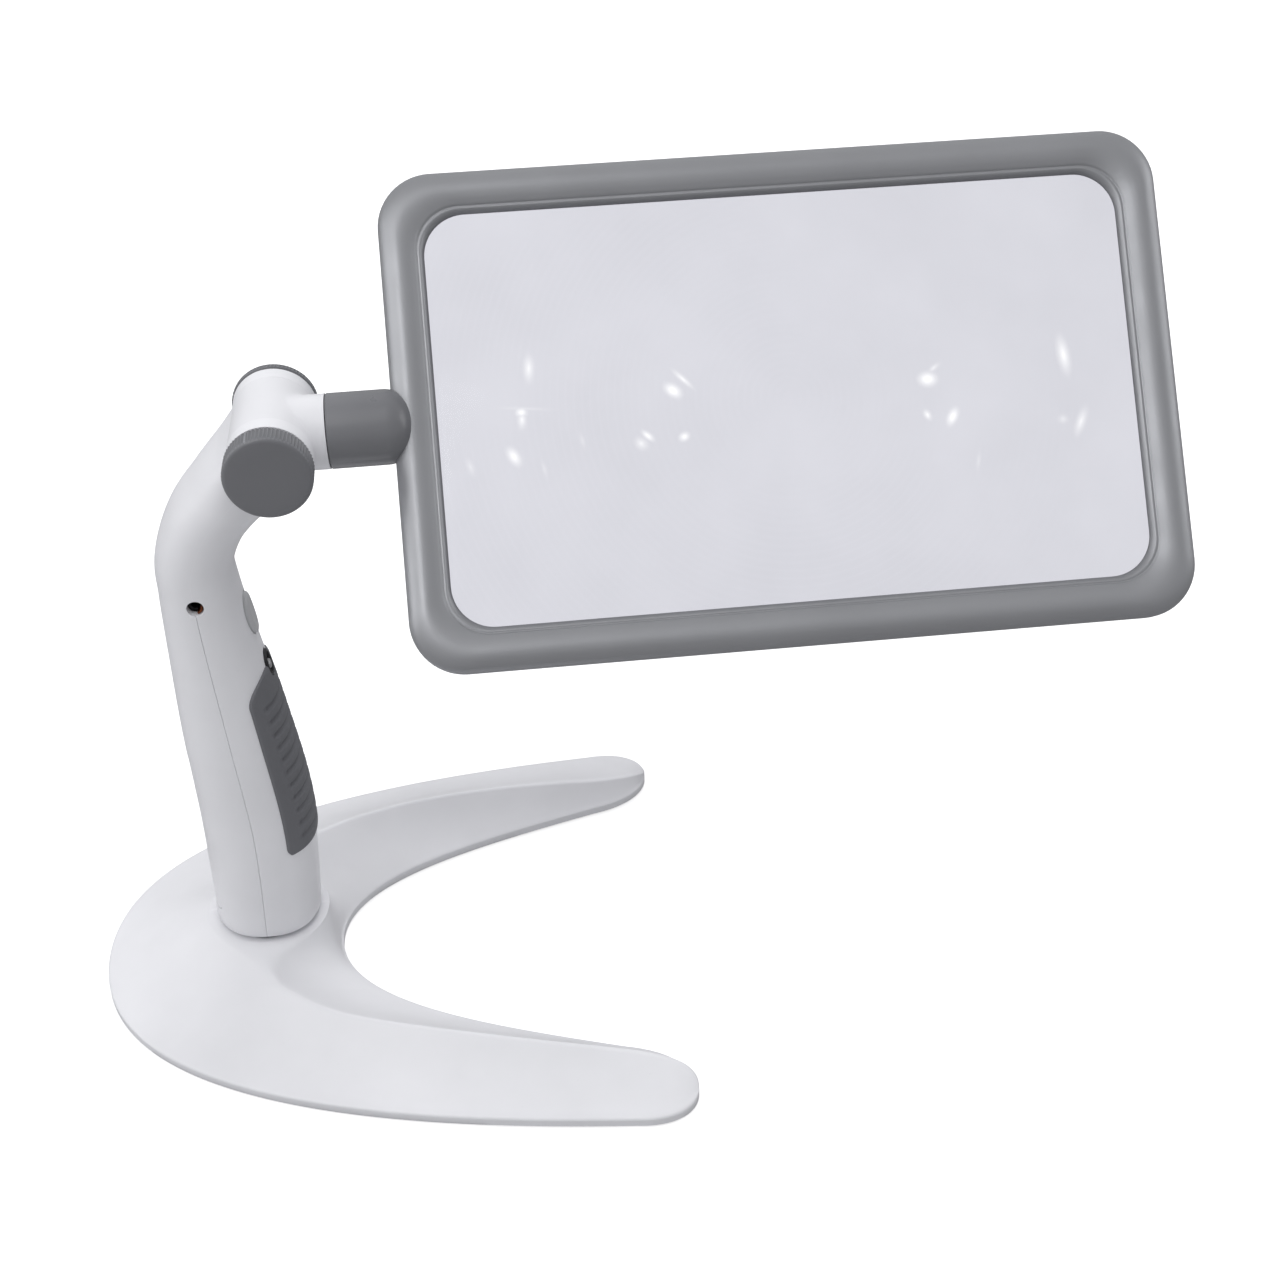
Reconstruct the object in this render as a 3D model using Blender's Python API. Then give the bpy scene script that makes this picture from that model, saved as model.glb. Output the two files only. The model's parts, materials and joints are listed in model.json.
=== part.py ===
"""Low vision magnifier on a crescent desk stand: a hand-held lighted lens whose handle lifts out of the base.

Units are metres, +Z is up, and Z = 0 is the table. The stand is symmetric about Y = 0 and opens towards +X.
The tilt axis of the arm runs along Y through the barrel, and the lens frame swivels about the arm's own axis.
"""

import math

import bmesh
import bpy
from mathutils import Matrix, Vector

MM = 0.001

# The part's own origin lies on the table under the middle of its whole length
MIDDLE_X = 99.88
GAP = 0.3

# Stand: half outline as three Bezier stretches, then heights
OUTER_CURVE = ((-62, 0), (-62, 43), (-21, 77), (100, 86.7))
TIP_CURVE = ((100, 86.7), (125, 90.5), (128, 64), (100, 57.3))
INNER_CURVE = ((100, 57.3), (55, 43), (13, 29), (13, 0))
RIM_Z = 0.8
EDGE_Z = 4.4
CREASE_ARM_Z = 15.5
COLLAR_Z = 20.5
SHELL_WALL = 2.4
RIM_WALL = 3.6
BODY_SHARE = 0.86
COLLAR_SHARE = 0.30
CREASE_HALF_WIDTH = 0.8
STAND_STATIONS = 17
SHELL_REACH = 0.995
CAVITY_REACH = 0.93
PLATE_REACH = 0.91
PLATE_Z = (1.6, 2.9)
PLATE_INSET = 4.4
WEIGHT_Z = (3.3, 5.3)
WEIGHT_SPAN = (0.40, 0.62)
WEIGHT_INSET = 18.0
BOSS_TOP_Z = 10.2
BASE_SCREWS = ((-45.0, 0.0), (62.0, 64.0), (62.0, -64.0))
BASE_SCREW_Z = (0.4, 6.2)
BASE_SCREW_RADIUS = 1.2
FEET = ((-46.0, 17.0), (-46.0, -17.0), (98.0, 73.0), (98.0, -73.0))
FOOT_RADIUS = 6.0
FOOT_HEIGHT = 1.3

# Handle
SOCKET_X = -8.9
COLLAR_RADIUS = 18.6
PLUG_RADIUS = 13.6
PLUG_Z = (5.4, 20.6)
HANDLE_WALL = 2.6
# Centreline stations: x, z, half depth across the seam, half width along Y
HANDLE_STATIONS = (
    (-8.9, 20.9, 16.3, 16.3),
    (-8.5, 60.0, 16.9, 16.6),
    (-11.4, 95.0, 15.3, 16.0),
    (-14.1, 124.0, 12.8, 14.9),
    (-15.5, 142.0, 11.3, 14.2),
    (-15.4, 153.0, 10.9, 14.0),
    (-11.4, 165.5, 11.0, 14.6),
    (-4.4, 175.3, 11.1, 15.9),
    (3.0, 182.9, 11.1, 16.5),
    (10.0, 189.0, 11.2, 16.6),
)
SQUARENESS = 2.25
SHELL_END = 0.965
SEAM_HALF_GAP = 0.15
GRIP_Z = (52.0, 114.5)
GRIP_SHOULDER_Z = 106.5
GRIP_ANGLES = (61.0, 60.0)
GRIP_DEPTH = 1.2
DOOR_Z = (28.0, 86.0)
DOOR_HALF_WIDTH = 10.5
BUTTON_Z = 131.5
BUTTON_SIZE = (13.4, 7.8)
SWITCH_Z = 113.5
SWITCH_OPENING = (4.5, 2.9)
SWITCH_RIM = (4.2, 2.6)
SWITCH_SLOT = (3.2, 1.6)
JACK_POS = (-15.4, 143.5)
JACK_HOLE_RADIUS = 2.4

# Batteries
CELL_RADIUS = 5.25
CELL_LENGTH = 44.5
CELL_RING = 6.3
CARRIER_Z = (31.0, 81.0)
CARRIER_DISC = (11.6, 1.6)
BOARD_X = (-12.2, -10.8)
BOARD_Z = (92.0, 138.0)

# Knuckle, about the barrel's centre
BARREL_X = 10.0
BARREL_Z = 189.0
BARREL_RADIUS = 11.6
EAR_Y = (13.1, 17.0)
HUB_HALF = 11.6
BOLT_RADIUS = 3.0
KNOB_Y = (17.3, 24.4)
KNOB_RADIUS = 12.0
CAP_THICK = 2.2
ARM_RISE_DEG = 1.5
ARM_SWEEP_DEG = (-29, -20, -11)
STUB_RADIUS = 10.3
STUB_END = 15.0
SLEEVE_END = 38.6
SLEEVE_DOME = 5.0
SHAFT_RADIUS = 3.8
SHAFT_SPAN = (6.4, 31.0)

# Lens frame, in its own plane
FRAME_CENTRE = 141.7
FRAME_TILT_DEG = 51.2
HALF_LENGTH = 109.0
HALF_HEIGHT = 69.1
OUTER_CORNER = 15.0
OPENING_CORNER = 11.6
RAIL = 12.1
LENS_INSET = 10.6
LENS_HALF_THICK = 1.2
RAIL_CENTRE = 5.3
LAMP_INSET = 7.6
LAMP_REACH = 44.0
FRAME_SCREW_X = (-78, 0, 78)
BEZEL_SECTION = (
    (0.0, 0.15), (0.0, 2.2), (0.8, 3.9), (2.6, 5.1), (5.2, 5.6), (8.2, 5.2), (10.6, 4.2), (12.1, 3.4),
    (12.1, 1.6), (10.2, 1.6), (10.2, 0.15), (8.8, 0.15), (8.8, 2.8), (5.2, 3.4), (1.8, 2.4), (1.8, 0.15),
)
BACK_SECTION = (
    (0.0, -0.15), (1.8, -0.15), (1.8, -3.0), (8.8, -3.0), (8.8, -0.15), (10.2, -0.15), (10.2, -1.6),
    (12.1, -1.6), (12.1, -2.9), (11.0, -4.3), (9.0, -4.9), (3.2, -4.9), (1.2, -4.2), (0.0, -2.6),
)
FRAME_SCREWS = tuple((x, side * (HALF_HEIGHT - RAIL_CENTRE)) for side in (-1, 1) for x in FRAME_SCREW_X)

# Turns that lay a solid made about Z along another axis
AXIS_TURNS = {
    "Z": Matrix(),
    "Y": Matrix.Rotation(-math.pi / 2, 4, "X"),
    "X": Matrix.Rotation(math.pi / 2, 4, "Y"),
}


# ---------------------------------------------------------------- materials

def material(name, colour, roughness, metallic=0.0, alpha=1.0):
    """A Principled material with one colour."""
    made = bpy.data.materials.new(name)
    made.use_nodes = True
    shader = made.node_tree.nodes["Principled BSDF"]
    shader.inputs["Base Color"].default_value = (*colour, 1.0)
    shader.inputs["Roughness"].default_value = roughness
    shader.inputs["Metallic"].default_value = metallic
    shader.inputs["Alpha"].default_value = alpha
    return made


def white_plastic(name):
    return material(name, (0.78, 0.78, 0.80), 0.38)


def grey_plastic(name):
    return material(name, (0.20, 0.20, 0.215), 0.45)


def silver_plastic(name):
    return material(name, (0.30, 0.30, 0.315), 0.35, 0.2)


def grip_rubber(name):
    return material(name, (0.12, 0.12, 0.13), 0.75)


def steel(name):
    return material(name, (0.62, 0.62, 0.63), 0.3, 1.0)


def black_plastic(name):
    return material(name, (0.02, 0.02, 0.02), 0.5)


def board_green(name):
    return material(name, (0.02, 0.18, 0.07), 0.5)


def cell_wrap(name):
    return material(name, (0.10, 0.16, 0.42), 0.4)


def clear_lens(name):
    return material(name, (0.93, 0.94, 0.96), 0.03, 0.0, 0.3)


def frosted_window(name):
    return material(name, (0.9, 0.9, 0.92), 0.5, 0.0, 0.7)


# ---------------------------------------------------------------- mesh helpers

def bezier(points, t):
    """A point of a cubic Bezier stretch."""
    s = 1 - t
    weights = (s ** 3, 3 * s * s * t, 3 * s * t * t, t ** 3)
    return Vector((
        sum(w * p[0] for w, p in zip(weights, points)),
        sum(w * p[1] for w, p in zip(weights, points)),
    ))


def spline(rows, t):
    """A point on a Catmull-Rom spline through the rows, with t from 0 to 1 over the whole length."""
    spans = len(rows) - 1
    index = min(int(t * spans), spans - 1)
    u = t * spans - index
    first = rows[max(index - 1, 0)]
    last = rows[min(index + 2, spans)]
    result = []
    for a, b, c, d in zip(first, rows[index], rows[index + 1], last):
        result.append(0.5 * (2 * b + (c - a) * u + (2 * a - 5 * b + 4 * c - d) * u * u
                             + (3 * b - a - 3 * c + d) * u ** 3))
    return result


def finish_object(name, mesh, look, parent=None):
    """Wraps a mesh as a named, smooth-shaded object with its material."""
    mesh.shade_smooth()
    mesh.set_sharp_from_angle(angle=math.radians(32))
    made = bpy.data.objects.new(name, mesh)
    bpy.context.scene.collection.objects.link(made)
    if look is not None:
        mesh.materials.append(look(name))
    if parent is not None:
        made.parent = parent
    return made


def mesh_of(name, work):
    """Turns the faces outwards and stores the bmesh as a mesh in metres."""
    bmesh.ops.recalc_face_normals(work, faces=work.faces)
    bmesh.ops.scale(work, vec=(MM, MM, MM), verts=work.verts)
    mesh = bpy.data.meshes.new(name)
    work.to_mesh(mesh)
    work.free()
    return mesh


def loft(name, rings, look, parent=None, closed_path=False):
    """Joins rings of equal length with quads, and caps the ends unless the path closes on itself."""
    work = bmesh.new()
    rows = [[work.verts.new(p) for p in ring] for ring in rings]
    pairs = list(zip(rows, rows[1:]))
    if closed_path:
        pairs.append((rows[-1], rows[0]))
    for low, high in pairs:
        for i in range(len(low)):
            j = (i + 1) % len(low)
            work.faces.new((low[i], low[j], high[j], high[i]))
    if not closed_path:
        work.faces.new(rows[0])
        work.faces.new(rows[-1])
    return finish_object(name, mesh_of(name, work), look, parent)


def open_shell(name, outside, inside, look):
    """A shell that is open below: an outside and an inside surface of equal grids, joined along the floor."""
    work = bmesh.new()
    outer = [[work.verts.new(p) for p in row] for row in outside]
    inner = [[work.verts.new(p) for p in row] for row in inside]
    for grid in (outer, inner):
        for near, far in zip(grid, grid[1:]):
            for i in range(len(near) - 1):
                work.faces.new((near[i], near[i + 1], far[i + 1], far[i]))
        work.faces.new(grid[0])
        work.faces.new(grid[-1])
    for k in range(len(outer) - 1):
        for i in (0, -1):
            work.faces.new((outer[k][i], outer[k + 1][i], inner[k + 1][i], inner[k][i]))
    for k in (0, -1):
        work.faces.new((outer[k][0], outer[k][-1], inner[k][-1], inner[k][0]))
    return finish_object(name, mesh_of(name, work), look)


def turned(name, profile, look, parent=None, segments=32, axis="Z", centre=(0, 0, 0)):
    """A solid turned about an axis from (radius, height) points that start and end on the axis."""
    work = bmesh.new()
    bottom = work.verts.new((0, 0, profile[0][1]))
    top = work.verts.new((0, 0, profile[-1][1]))
    rings = []
    for radius, height in profile[1:-1]:
        ring = []
        for k in range(segments):
            angle = 2 * math.pi * k / segments
            ring.append(work.verts.new((radius * math.cos(angle), radius * math.sin(angle), height)))
        rings.append(ring)
    for k in range(segments):
        j = (k + 1) % segments
        work.faces.new((bottom, rings[0][k], rings[0][j]))
        work.faces.new((top, rings[-1][j], rings[-1][k]))
        for low, high in zip(rings, rings[1:]):
            work.faces.new((low[k], low[j], high[j], high[k]))
    turn = AXIS_TURNS[axis] if isinstance(axis, str) else axis
    bmesh.ops.transform(work, matrix=Matrix.Translation(centre) @ turn, verts=work.verts)
    return finish_object(name, mesh_of(name, work), look, parent)


def rod(name, radius, low, high, look, parent=None, segments=20, axis="Z", centre=(0, 0, 0)):
    """A plain cylinder between two heights on its axis."""
    profile = ((0, low), (radius, low), (radius, high), (0, high))
    return turned(name, profile, look, parent, segments, axis, centre)


def ring_part(name, inner, outer, low, high, look, parent=None, segments=20, axis="Z", centre=(0, 0, 0)):
    """A washer or tube, lofted round its own axis."""
    place = Matrix.Translation(centre) @ AXIS_TURNS[axis]
    rings = []
    for k in range(segments):
        angle = 2 * math.pi * k / segments
        ring = []
        for radius, height in ((inner, low), (outer, low), (outer, high), (inner, high)):
            ring.append(place @ Vector((radius * math.cos(angle), radius * math.sin(angle), height)))
        rings.append(ring)
    return loft(name, rings, look, parent, closed_path=True)


def block(name, low, high, look, parent=None):
    """A rectangular block between two corners."""
    rings = []
    for z in (low[2], high[2]):
        rings.append([(low[0], low[1], z), (high[0], low[1], z), (high[0], high[1], z), (low[0], high[1], z)])
    return loft(name, rings, look, parent)


def as_cutter(made):
    """Hides a helper solid from the build."""
    made.hide_render = True
    made.display_type = "WIRE"
    return made


def combine(target, tool, operation):
    """Adds a Boolean of a helper solid to a part."""
    as_cutter(tool)
    step = target.modifiers.new(tool.name, "BOOLEAN")
    step.operation = operation
    step.solver = "EXACT"
    step.object = tool


def empty(name, location=(0, 0, 0), parent=None, turn=None):
    """An axis marker that moving pieces hang from."""
    made = bpy.data.objects.new(name, None)
    bpy.context.scene.collection.objects.link(made)
    made.empty_display_size = 10 * MM
    made.parent = parent
    made.location = Vector(location) * MM
    if turn is not None:
        made.rotation_euler = turn
    return made


def hang(pieces, marker):
    """Hangs pieces that were made in stand coordinates from an axis marker, without moving them."""
    for piece in pieces:
        piece.parent = marker
        piece.matrix_parent_inverse = Matrix.Translation(-marker.location)


# ---------------------------------------------------------------- stand

def half_edge(t):
    """Outer and inner points of the stand's half plan, with t from 0 (middle of the back) to 1 (tip)."""
    if t <= BODY_SHARE:
        u = t / BODY_SHARE
        outer = bezier(OUTER_CURVE, u)
        inner = bezier(INNER_CURVE, 1 - u)
    else:
        u = (t - BODY_SHARE) / (1 - BODY_SHARE)
        outer = bezier(TIP_CURVE, 0.5 * u)
        inner = bezier(TIP_CURVE, 1 - 0.5 * u)
    return outer, inner


def crease_share(t):
    """How far the crease lies from the outer edge to the inner edge; it nears the inner edge at the tip."""
    return 0.56 + 0.24 * max(0.0, (t - 0.45) / 0.55) ** 1.2


def crease_height(t):
    """The crease falls from the collar to the arm and fades into the tip."""
    fall = min(t / 0.42, 1.0)
    level = COLLAR_Z + (CREASE_ARM_Z - COLLAR_Z) * (3 * fall ** 2 - 2 * fall ** 3)
    fade = max(0.0, (t - 0.55) / 0.45)
    return level + (EDGE_Z + 1.2 - level) * fade ** 1.7


def crease_pair(t, outer, inner, drop):
    """The two sides of the crease: round the collar near the handle, a narrow ridge along the arm."""
    chord = (inner - outer).normalized()
    shared = outer.lerp(inner, crease_share(t))
    spread = min(CREASE_HALF_WIDTH, 0.1 * (inner - outer).length)
    back = shared - chord * spread
    front = shared + chord * spread
    if t >= COLLAR_SHARE:
        return back, front
    blend = (t / COLLAR_SHARE) ** 6
    angle = math.pi - (math.pi / 2) * (t / COLLAR_SHARE)
    ring = COLLAR_RADIUS - drop
    collar_back = Vector((SOCKET_X + ring * math.cos(angle), ring * math.sin(angle)))
    collar_front = Vector((SOCKET_X - ring * math.cos(angle), ring * math.sin(angle)))
    collar_front.x = min(collar_front.x, inner.x - CREASE_HALF_WIDTH)
    return collar_back.lerp(back, blend), collar_front.lerp(front, blend)


def stand_row(side, t, inset, drop, floor):
    """One cross-section of the stand's solid, from the outer rim over the crease to the inner rim."""
    outer, inner = half_edge(t)
    chord = inner - outer
    width = chord.length
    inset = min(inset, 0.42 * width)
    outer = outer + chord * (inset / width)
    inner = inner - chord * (inset / width)
    back, front = crease_pair(t, outer, inner, drop)
    edge = EDGE_Z - drop * 0.6
    top = crease_height(t) - drop
    row = [(outer, floor), (outer, edge)]
    for u in (0.33, 0.68):
        bow = 0.10 * (top + drop - EDGE_Z) * math.sin(math.pi * u)
        row.append((outer.lerp(back, u), edge + (top - edge) * u - bow))
    row += [(back, top), (front, top)]
    row.append((front.lerp(inner, 0.5), edge + (top - edge) * 0.43))
    row += [(inner, edge), (inner, floor)]
    return [Vector((p.x, side * p.y, z)) for p, z in row]


def stand_rings(inset, drop, reach):
    """Cross-sections from the front tip, round the back, to the rear tip."""
    ts = [reach * k / STAND_STATIONS for k in range(STAND_STATIONS + 1)]
    front = [stand_row(-1, t, inset, drop, RIM_Z) for t in reversed(ts[1:])]
    rear = [stand_row(1, t, inset, drop, RIM_Z) for t in ts]
    return front + rear


def stand_outline(inset, first, last, steps):
    """The closed half outline of an arm between two stations, for plates and weights that lie inside."""
    outers = []
    inners = []
    for k in range(steps + 1):
        t = first + (last - first) * k / steps
        outer, inner = half_edge(t)
        chord = (inner - outer)
        step = min(inset, 0.42 * chord.length)
        chord.normalize()
        outers.append(outer + chord * step)
        inners.append(inner - chord * step)
    return outers, inners


def screw_tools(kind, radius, low, high, segments):
    """One helper cylinder on each base screw's axis."""
    for number, (x, y) in enumerate(BASE_SCREWS, 1):
        yield rod(f"{kind}_{number}", radius, low, high, None, segments=segments, centre=(x, y, 0))


def base_shell():
    outside = stand_rings(0, 0, SHELL_REACH)
    inside = stand_rings(RIM_WALL, SHELL_WALL, CAVITY_REACH)
    shell = open_shell("base_shell", outside, inside, white_plastic)
    socket = (SOCKET_X, 0, 0)
    boss = rod("socket_boss", COLLAR_RADIUS - 1.2, 3.2, COLLAR_Z - 1.5, None, segments=40, centre=socket)
    combine(shell, boss, "UNION")
    for tool in screw_tools("screw_boss", 3.4, 3.2, BOSS_TOP_Z, 16):
        combine(shell, tool, "UNION")
    bore = rod("socket_bore", PLUG_RADIUS + GAP, PLUG_Z[0] - GAP, 40, None, segments=40, centre=socket)
    combine(shell, bore, "DIFFERENCE")
    for tool in screw_tools("screw_pilot", BASE_SCREW_RADIUS + GAP, 2, BASE_SCREW_Z[1] + 0.4, 12):
        combine(shell, tool, "DIFFERENCE")
    return shell


def base_plate():
    outers, inners = stand_outline(PLATE_INSET, 0, PLATE_REACH, 16)
    loop = [Vector((p.x, -p.y, 0)) for p in reversed(outers[1:])] + [Vector((p.x, p.y, 0)) for p in outers]
    loop += [Vector((p.x, p.y, 0)) for p in reversed(inners)] + [Vector((p.x, -p.y, 0)) for p in inners[1:]]
    plate = loft("base_plate", [[p + Vector((0, 0, z)) for p in loop] for z in PLATE_Z], black_plastic)
    for tool in screw_tools("plate_hole", BASE_SCREW_RADIUS + 0.4, 0, 5, 12):
        combine(plate, tool, "DIFFERENCE")
    return plate


def arm_weight(name, side):
    """A steel weight that lies in one arm of the stand."""
    outers, inners = stand_outline(WEIGHT_INSET, *WEIGHT_SPAN, 6)
    loop = [Vector((p.x, side * p.y, 0)) for p in outers + inners[::-1]]
    return loft(name, [[p + Vector((0, 0, z)) for p in loop] for z in WEIGHT_Z], steel)


def base_screw(name, x, y):
    head = 2.8
    low, high = BASE_SCREW_Z
    under_head = PLATE_Z[0] - GAP
    profile = ((0, low), (head, low), (head, under_head), (BASE_SCREW_RADIUS, under_head),
               (BASE_SCREW_RADIUS, high), (0, high))
    return turned(name, profile, steel, segments=12, centre=(x, y, 0))


def rubber_foot(name, x, y):
    radius = FOOT_RADIUS
    profile = ((0, 0), (radius - 0.4, 0), (radius, 0.4), (radius, FOOT_HEIGHT), (0, FOOT_HEIGHT))
    return turned(name, profile, grip_rubber, segments=20, centre=(x, y, 0))


def build_stand():
    base_shell()
    base_plate()
    arm_weight("base_weight_front", -1)
    arm_weight("base_weight_rear", 1)
    for number, (x, y) in enumerate(BASE_SCREWS, 1):
        base_screw(f"base_screw_{number}", x, y)
    for number, (x, y) in enumerate(FEET, 1):
        rubber_foot(f"rubber_foot_{number}", x, y)


# ---------------------------------------------------------------- handle

def handle_frame(t):
    """Centre, forward and along directions, and half sizes of the handle's section at t."""
    x, z, depth, width = spline(HANDLE_STATIONS, t)
    low = spline(HANDLE_STATIONS, max(t - 0.01, 0))
    high = spline(HANDLE_STATIONS, min(t + 0.01, 1))
    along = Vector((high[0] - low[0], 0, high[1] - low[1])).normalized()
    forward = Vector((along.z, 0, -along.x))
    return Vector((x, 0, z)), forward, depth, width


def handle_point(t, angle, offset=0.0):
    """A point of the handle's skin: angle 0 faces forward, 90 degrees faces +Y; offset moves it outwards."""
    centre, forward, depth, width = handle_frame(t)
    c = math.cos(angle)
    s = math.sin(angle)
    power = 2 / SQUARENESS
    u = (depth + offset) * math.copysign(abs(c) ** power, c)
    v = (width + offset) * math.copysign(abs(s) ** power, s)
    return centre + forward * u + Vector((0, v, 0))


def station_of(z):
    """The t at which the handle's centreline is at height z."""
    low, high = 0.0, 1.0
    for _ in range(30):
        middle = (low + high) / 2
        if spline(HANDLE_STATIONS, middle)[1] < z:
            low = middle
        else:
            high = middle
    return low


def half_shell_ring(t, facing, steps=8):
    """A C-shaped section: the skin on one side of the seam, and the wall's inner side back again."""
    seam = Vector((SEAM_HALF_GAP * facing, 0, 0))
    ring = []
    for offset, order in ((0.0, 1), (-HANDLE_WALL, -1)):
        arc = []
        for k in range(steps + 1):
            angle = math.radians(-90 + 180 * k / steps)
            if facing < 0:
                angle += math.pi
            arc.append(handle_point(t, angle, offset) + seam)
        ring += arc[::order]
    return ring


def half_shell(name, facing, look):
    ts = [SHELL_END * k / 15 for k in range(16)]
    return loft(name, [half_shell_ring(t, facing) for t in ts], look)


def barrel_tool(name, radius, low, high, segments=40):
    """A helper cylinder on the barrel's axis."""
    return rod(name, radius, low, high, None, segments=segments, axis="Y", centre=(BARREL_X, 0, BARREL_Z))


def jack_tool(name):
    x, z = JACK_POS
    return rod(name, JACK_HOLE_RADIUS, -22, -8, None, segments=20, axis="Y", centre=(x, 0, z))


def stub_tool(name, degrees):
    """Room for the arm's stub when the arm stands at an angle above the level."""
    turn = Matrix.Rotation(math.radians(-degrees), 4, "Y") @ AXIS_TURNS["X"]
    centre = (BARREL_X, 0, BARREL_Z)
    return rod(name, STUB_RADIUS + 0.5, 0, STUB_END + 0.5, None, segments=32, axis=turn, centre=centre)


def grip_half_angle(z, margin=0.0):
    """The grip's half width, as an angle round the handle, at height z."""
    low, shoulder = GRIP_Z[0], GRIP_SHOULDER_Z
    if z <= shoulder:
        share = (z - low) / (shoulder - low)
        return math.radians(GRIP_ANGLES[0] + (GRIP_ANGLES[1] - GRIP_ANGLES[0]) * share + margin)
    share = min((z - shoulder) / (GRIP_Z[1] - shoulder), 1.0)
    return math.radians(GRIP_ANGLES[1] * math.sqrt(max(1 - 0.93 * share ** 2, 0.0)) + margin)


def grip_ring(z, inner, outer, margin, steps=10):
    t = station_of(z)
    half = grip_half_angle(z, margin)
    angles = [half * (2 * k / steps - 1) for k in range(steps + 1)]
    return [handle_point(t, a, outer) for a in angles] + [handle_point(t, a, inner) for a in reversed(angles)]


def grip_solid(name, inner, outer, margin, overrun, look):
    low, high = GRIP_Z
    levels = [low + (high - low) * math.sin(math.pi / 2 * k / 12) ** 0.8 for k in range(13)]
    levels[0] -= overrun
    levels[-1] += overrun
    return loft(name, [grip_ring(z, inner, outer, margin) for z in levels], look)


def oval(z, half_size, inner, outer, steps=20):
    """Two ovals on the handle's front face, at an inner and an outer offset; half_size is (high, wide)."""
    out = handle_frame(station_of(z))[1]
    rings = []
    for offset in (inner, outer):
        ring = []
        for k in range(steps):
            angle = 2 * math.pi * k / steps
            level = station_of(z + half_size[0] * math.cos(angle))
            across = math.asin(half_size[1] * math.sin(angle) / handle_frame(level)[3])
            ring.append(handle_point(level, across) + out * offset)
        rings.append(ring)
    return rings


def button_oval(margin, inner, outer):
    """Ovals of the power button's outline, grown by a margin."""
    half_size = (BUTTON_SIZE[0] / 2 + margin, BUTTON_SIZE[1] / 2 + margin)
    return oval(BUTTON_Z, half_size, inner, outer)


def front_shell():
    shell = half_shell("handle_front_shell", 1, white_plastic)
    combine(shell, barrel_tool("front_saddle", BARREL_RADIUS + 0.4, -30, 30), "DIFFERENCE")
    for number, degrees in enumerate(ARM_SWEEP_DEG, 1):
        combine(shell, stub_tool(f"stub_room_{number}", degrees), "DIFFERENCE")
    combine(shell, grip_solid("grip_recess", -GRIP_DEPTH - GAP, 3.0, 1.2, GAP, None), "DIFFERENCE")
    combine(shell, loft("button_hole", button_oval(GAP, -6, 4), None), "DIFFERENCE")
    combine(shell, loft("switch_hole", oval(SWITCH_Z, SWITCH_OPENING, -6, 4), None), "DIFFERENCE")
    combine(shell, jack_tool("front_jack_hole"), "DIFFERENCE")
    return shell


def rear_shell():
    shell = half_shell("handle_rear_shell", -1, white_plastic)
    low = (-60, -DOOR_HALF_WIDTH, DOOR_Z[0])
    high = (-19, DOOR_HALF_WIDTH, DOOR_Z[1])
    combine(shell, block("door_opening", low, high, None), "DIFFERENCE")
    combine(shell, jack_tool("rear_jack_hole"), "DIFFERENCE")
    combine(shell, barrel_tool("front_ear", BARREL_RADIUS, -EAR_Y[1], -EAR_Y[0] + 1), "UNION")
    combine(shell, barrel_tool("rear_ear", BARREL_RADIUS, EAR_Y[0] - 1, EAR_Y[1]), "UNION")
    combine(shell, barrel_tool("hub_clearance", BARREL_RADIUS + 0.4, -EAR_Y[0], EAR_Y[0], 44), "DIFFERENCE")
    combine(shell, barrel_tool("bolt_bore", BOLT_RADIUS + GAP, -30, 30, segments=20), "DIFFERENCE")
    return shell


def battery_door():
    door = half_shell("battery_door", -1, white_plastic)
    low = (-60, -DOOR_HALF_WIDTH + GAP, DOOR_Z[0] + GAP)
    high = (-19 - GAP, DOOR_HALF_WIDTH - GAP, DOOR_Z[1] - GAP)
    combine(door, block("door_outline", low, high, None), "INTERSECT")
    return door


def grip_pad():
    pad = grip_solid("grip_pad", -GRIP_DEPTH, 0.4, 0, 0, grip_rubber)
    combine(pad, loft("grip_notch", oval(SWITCH_Z, SWITCH_OPENING, -6, 4), None), "DIFFERENCE")
    return pad


def power_button():
    crown = button_oval(-1.3, 0, 1.2)[1]
    return loft("power_button", [*button_oval(0, -2.4, 0.5), crown], grey_plastic)


def switch_surround():
    """The oval black rim round the brightness slider."""
    outer = oval(SWITCH_Z, SWITCH_RIM, -1.0, 0.6)
    inner = oval(SWITCH_Z, SWITCH_SLOT, -1.0, 0.6)
    rings = [[o0, o1, i1, i0] for o0, o1, i1, i0 in zip(outer[0], outer[1], inner[1], inner[0])]
    return loft("switch_surround", rings, black_plastic, closed_path=True)


def brightness_slider():
    crown = oval(SWITCH_Z - 0.6, (1.0, 0.8), 0, 0.9)[1]
    return loft("brightness_slider", [*oval(SWITCH_Z - 0.6, (1.5, 1.2), -2.6, 0.4), crown], steel)


def handle_plug():
    """The round foot of the handle, which stands in the base's socket and closes the handle below."""
    low, high = PLUG_Z
    top = high + 4.0
    neck = PLUG_RADIUS - 0.8
    profile = ((0, low), (PLUG_RADIUS - 1, low), (PLUG_RADIUS, low + 1), (PLUG_RADIUS, high), (neck, high),
               (neck, top), (0, top))
    return turned("handle_plug", profile, grey_plastic, segments=36, centre=(SOCKET_X, 0, 0))


def battery_carrier():
    """Two end discs joined by a rod between the cells."""
    low, high = CARRIER_Z
    disc, thick = CARRIER_DISC
    core = 0.8
    profile = ((0, low), (disc, low), (disc, low + thick), (core, low + thick), (core, high - thick),
               (disc, high - thick), (disc, high), (0, high))
    return turned("battery_carrier", profile, black_plastic, segments=24, centre=(SOCKET_X, 0, 0))


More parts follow.
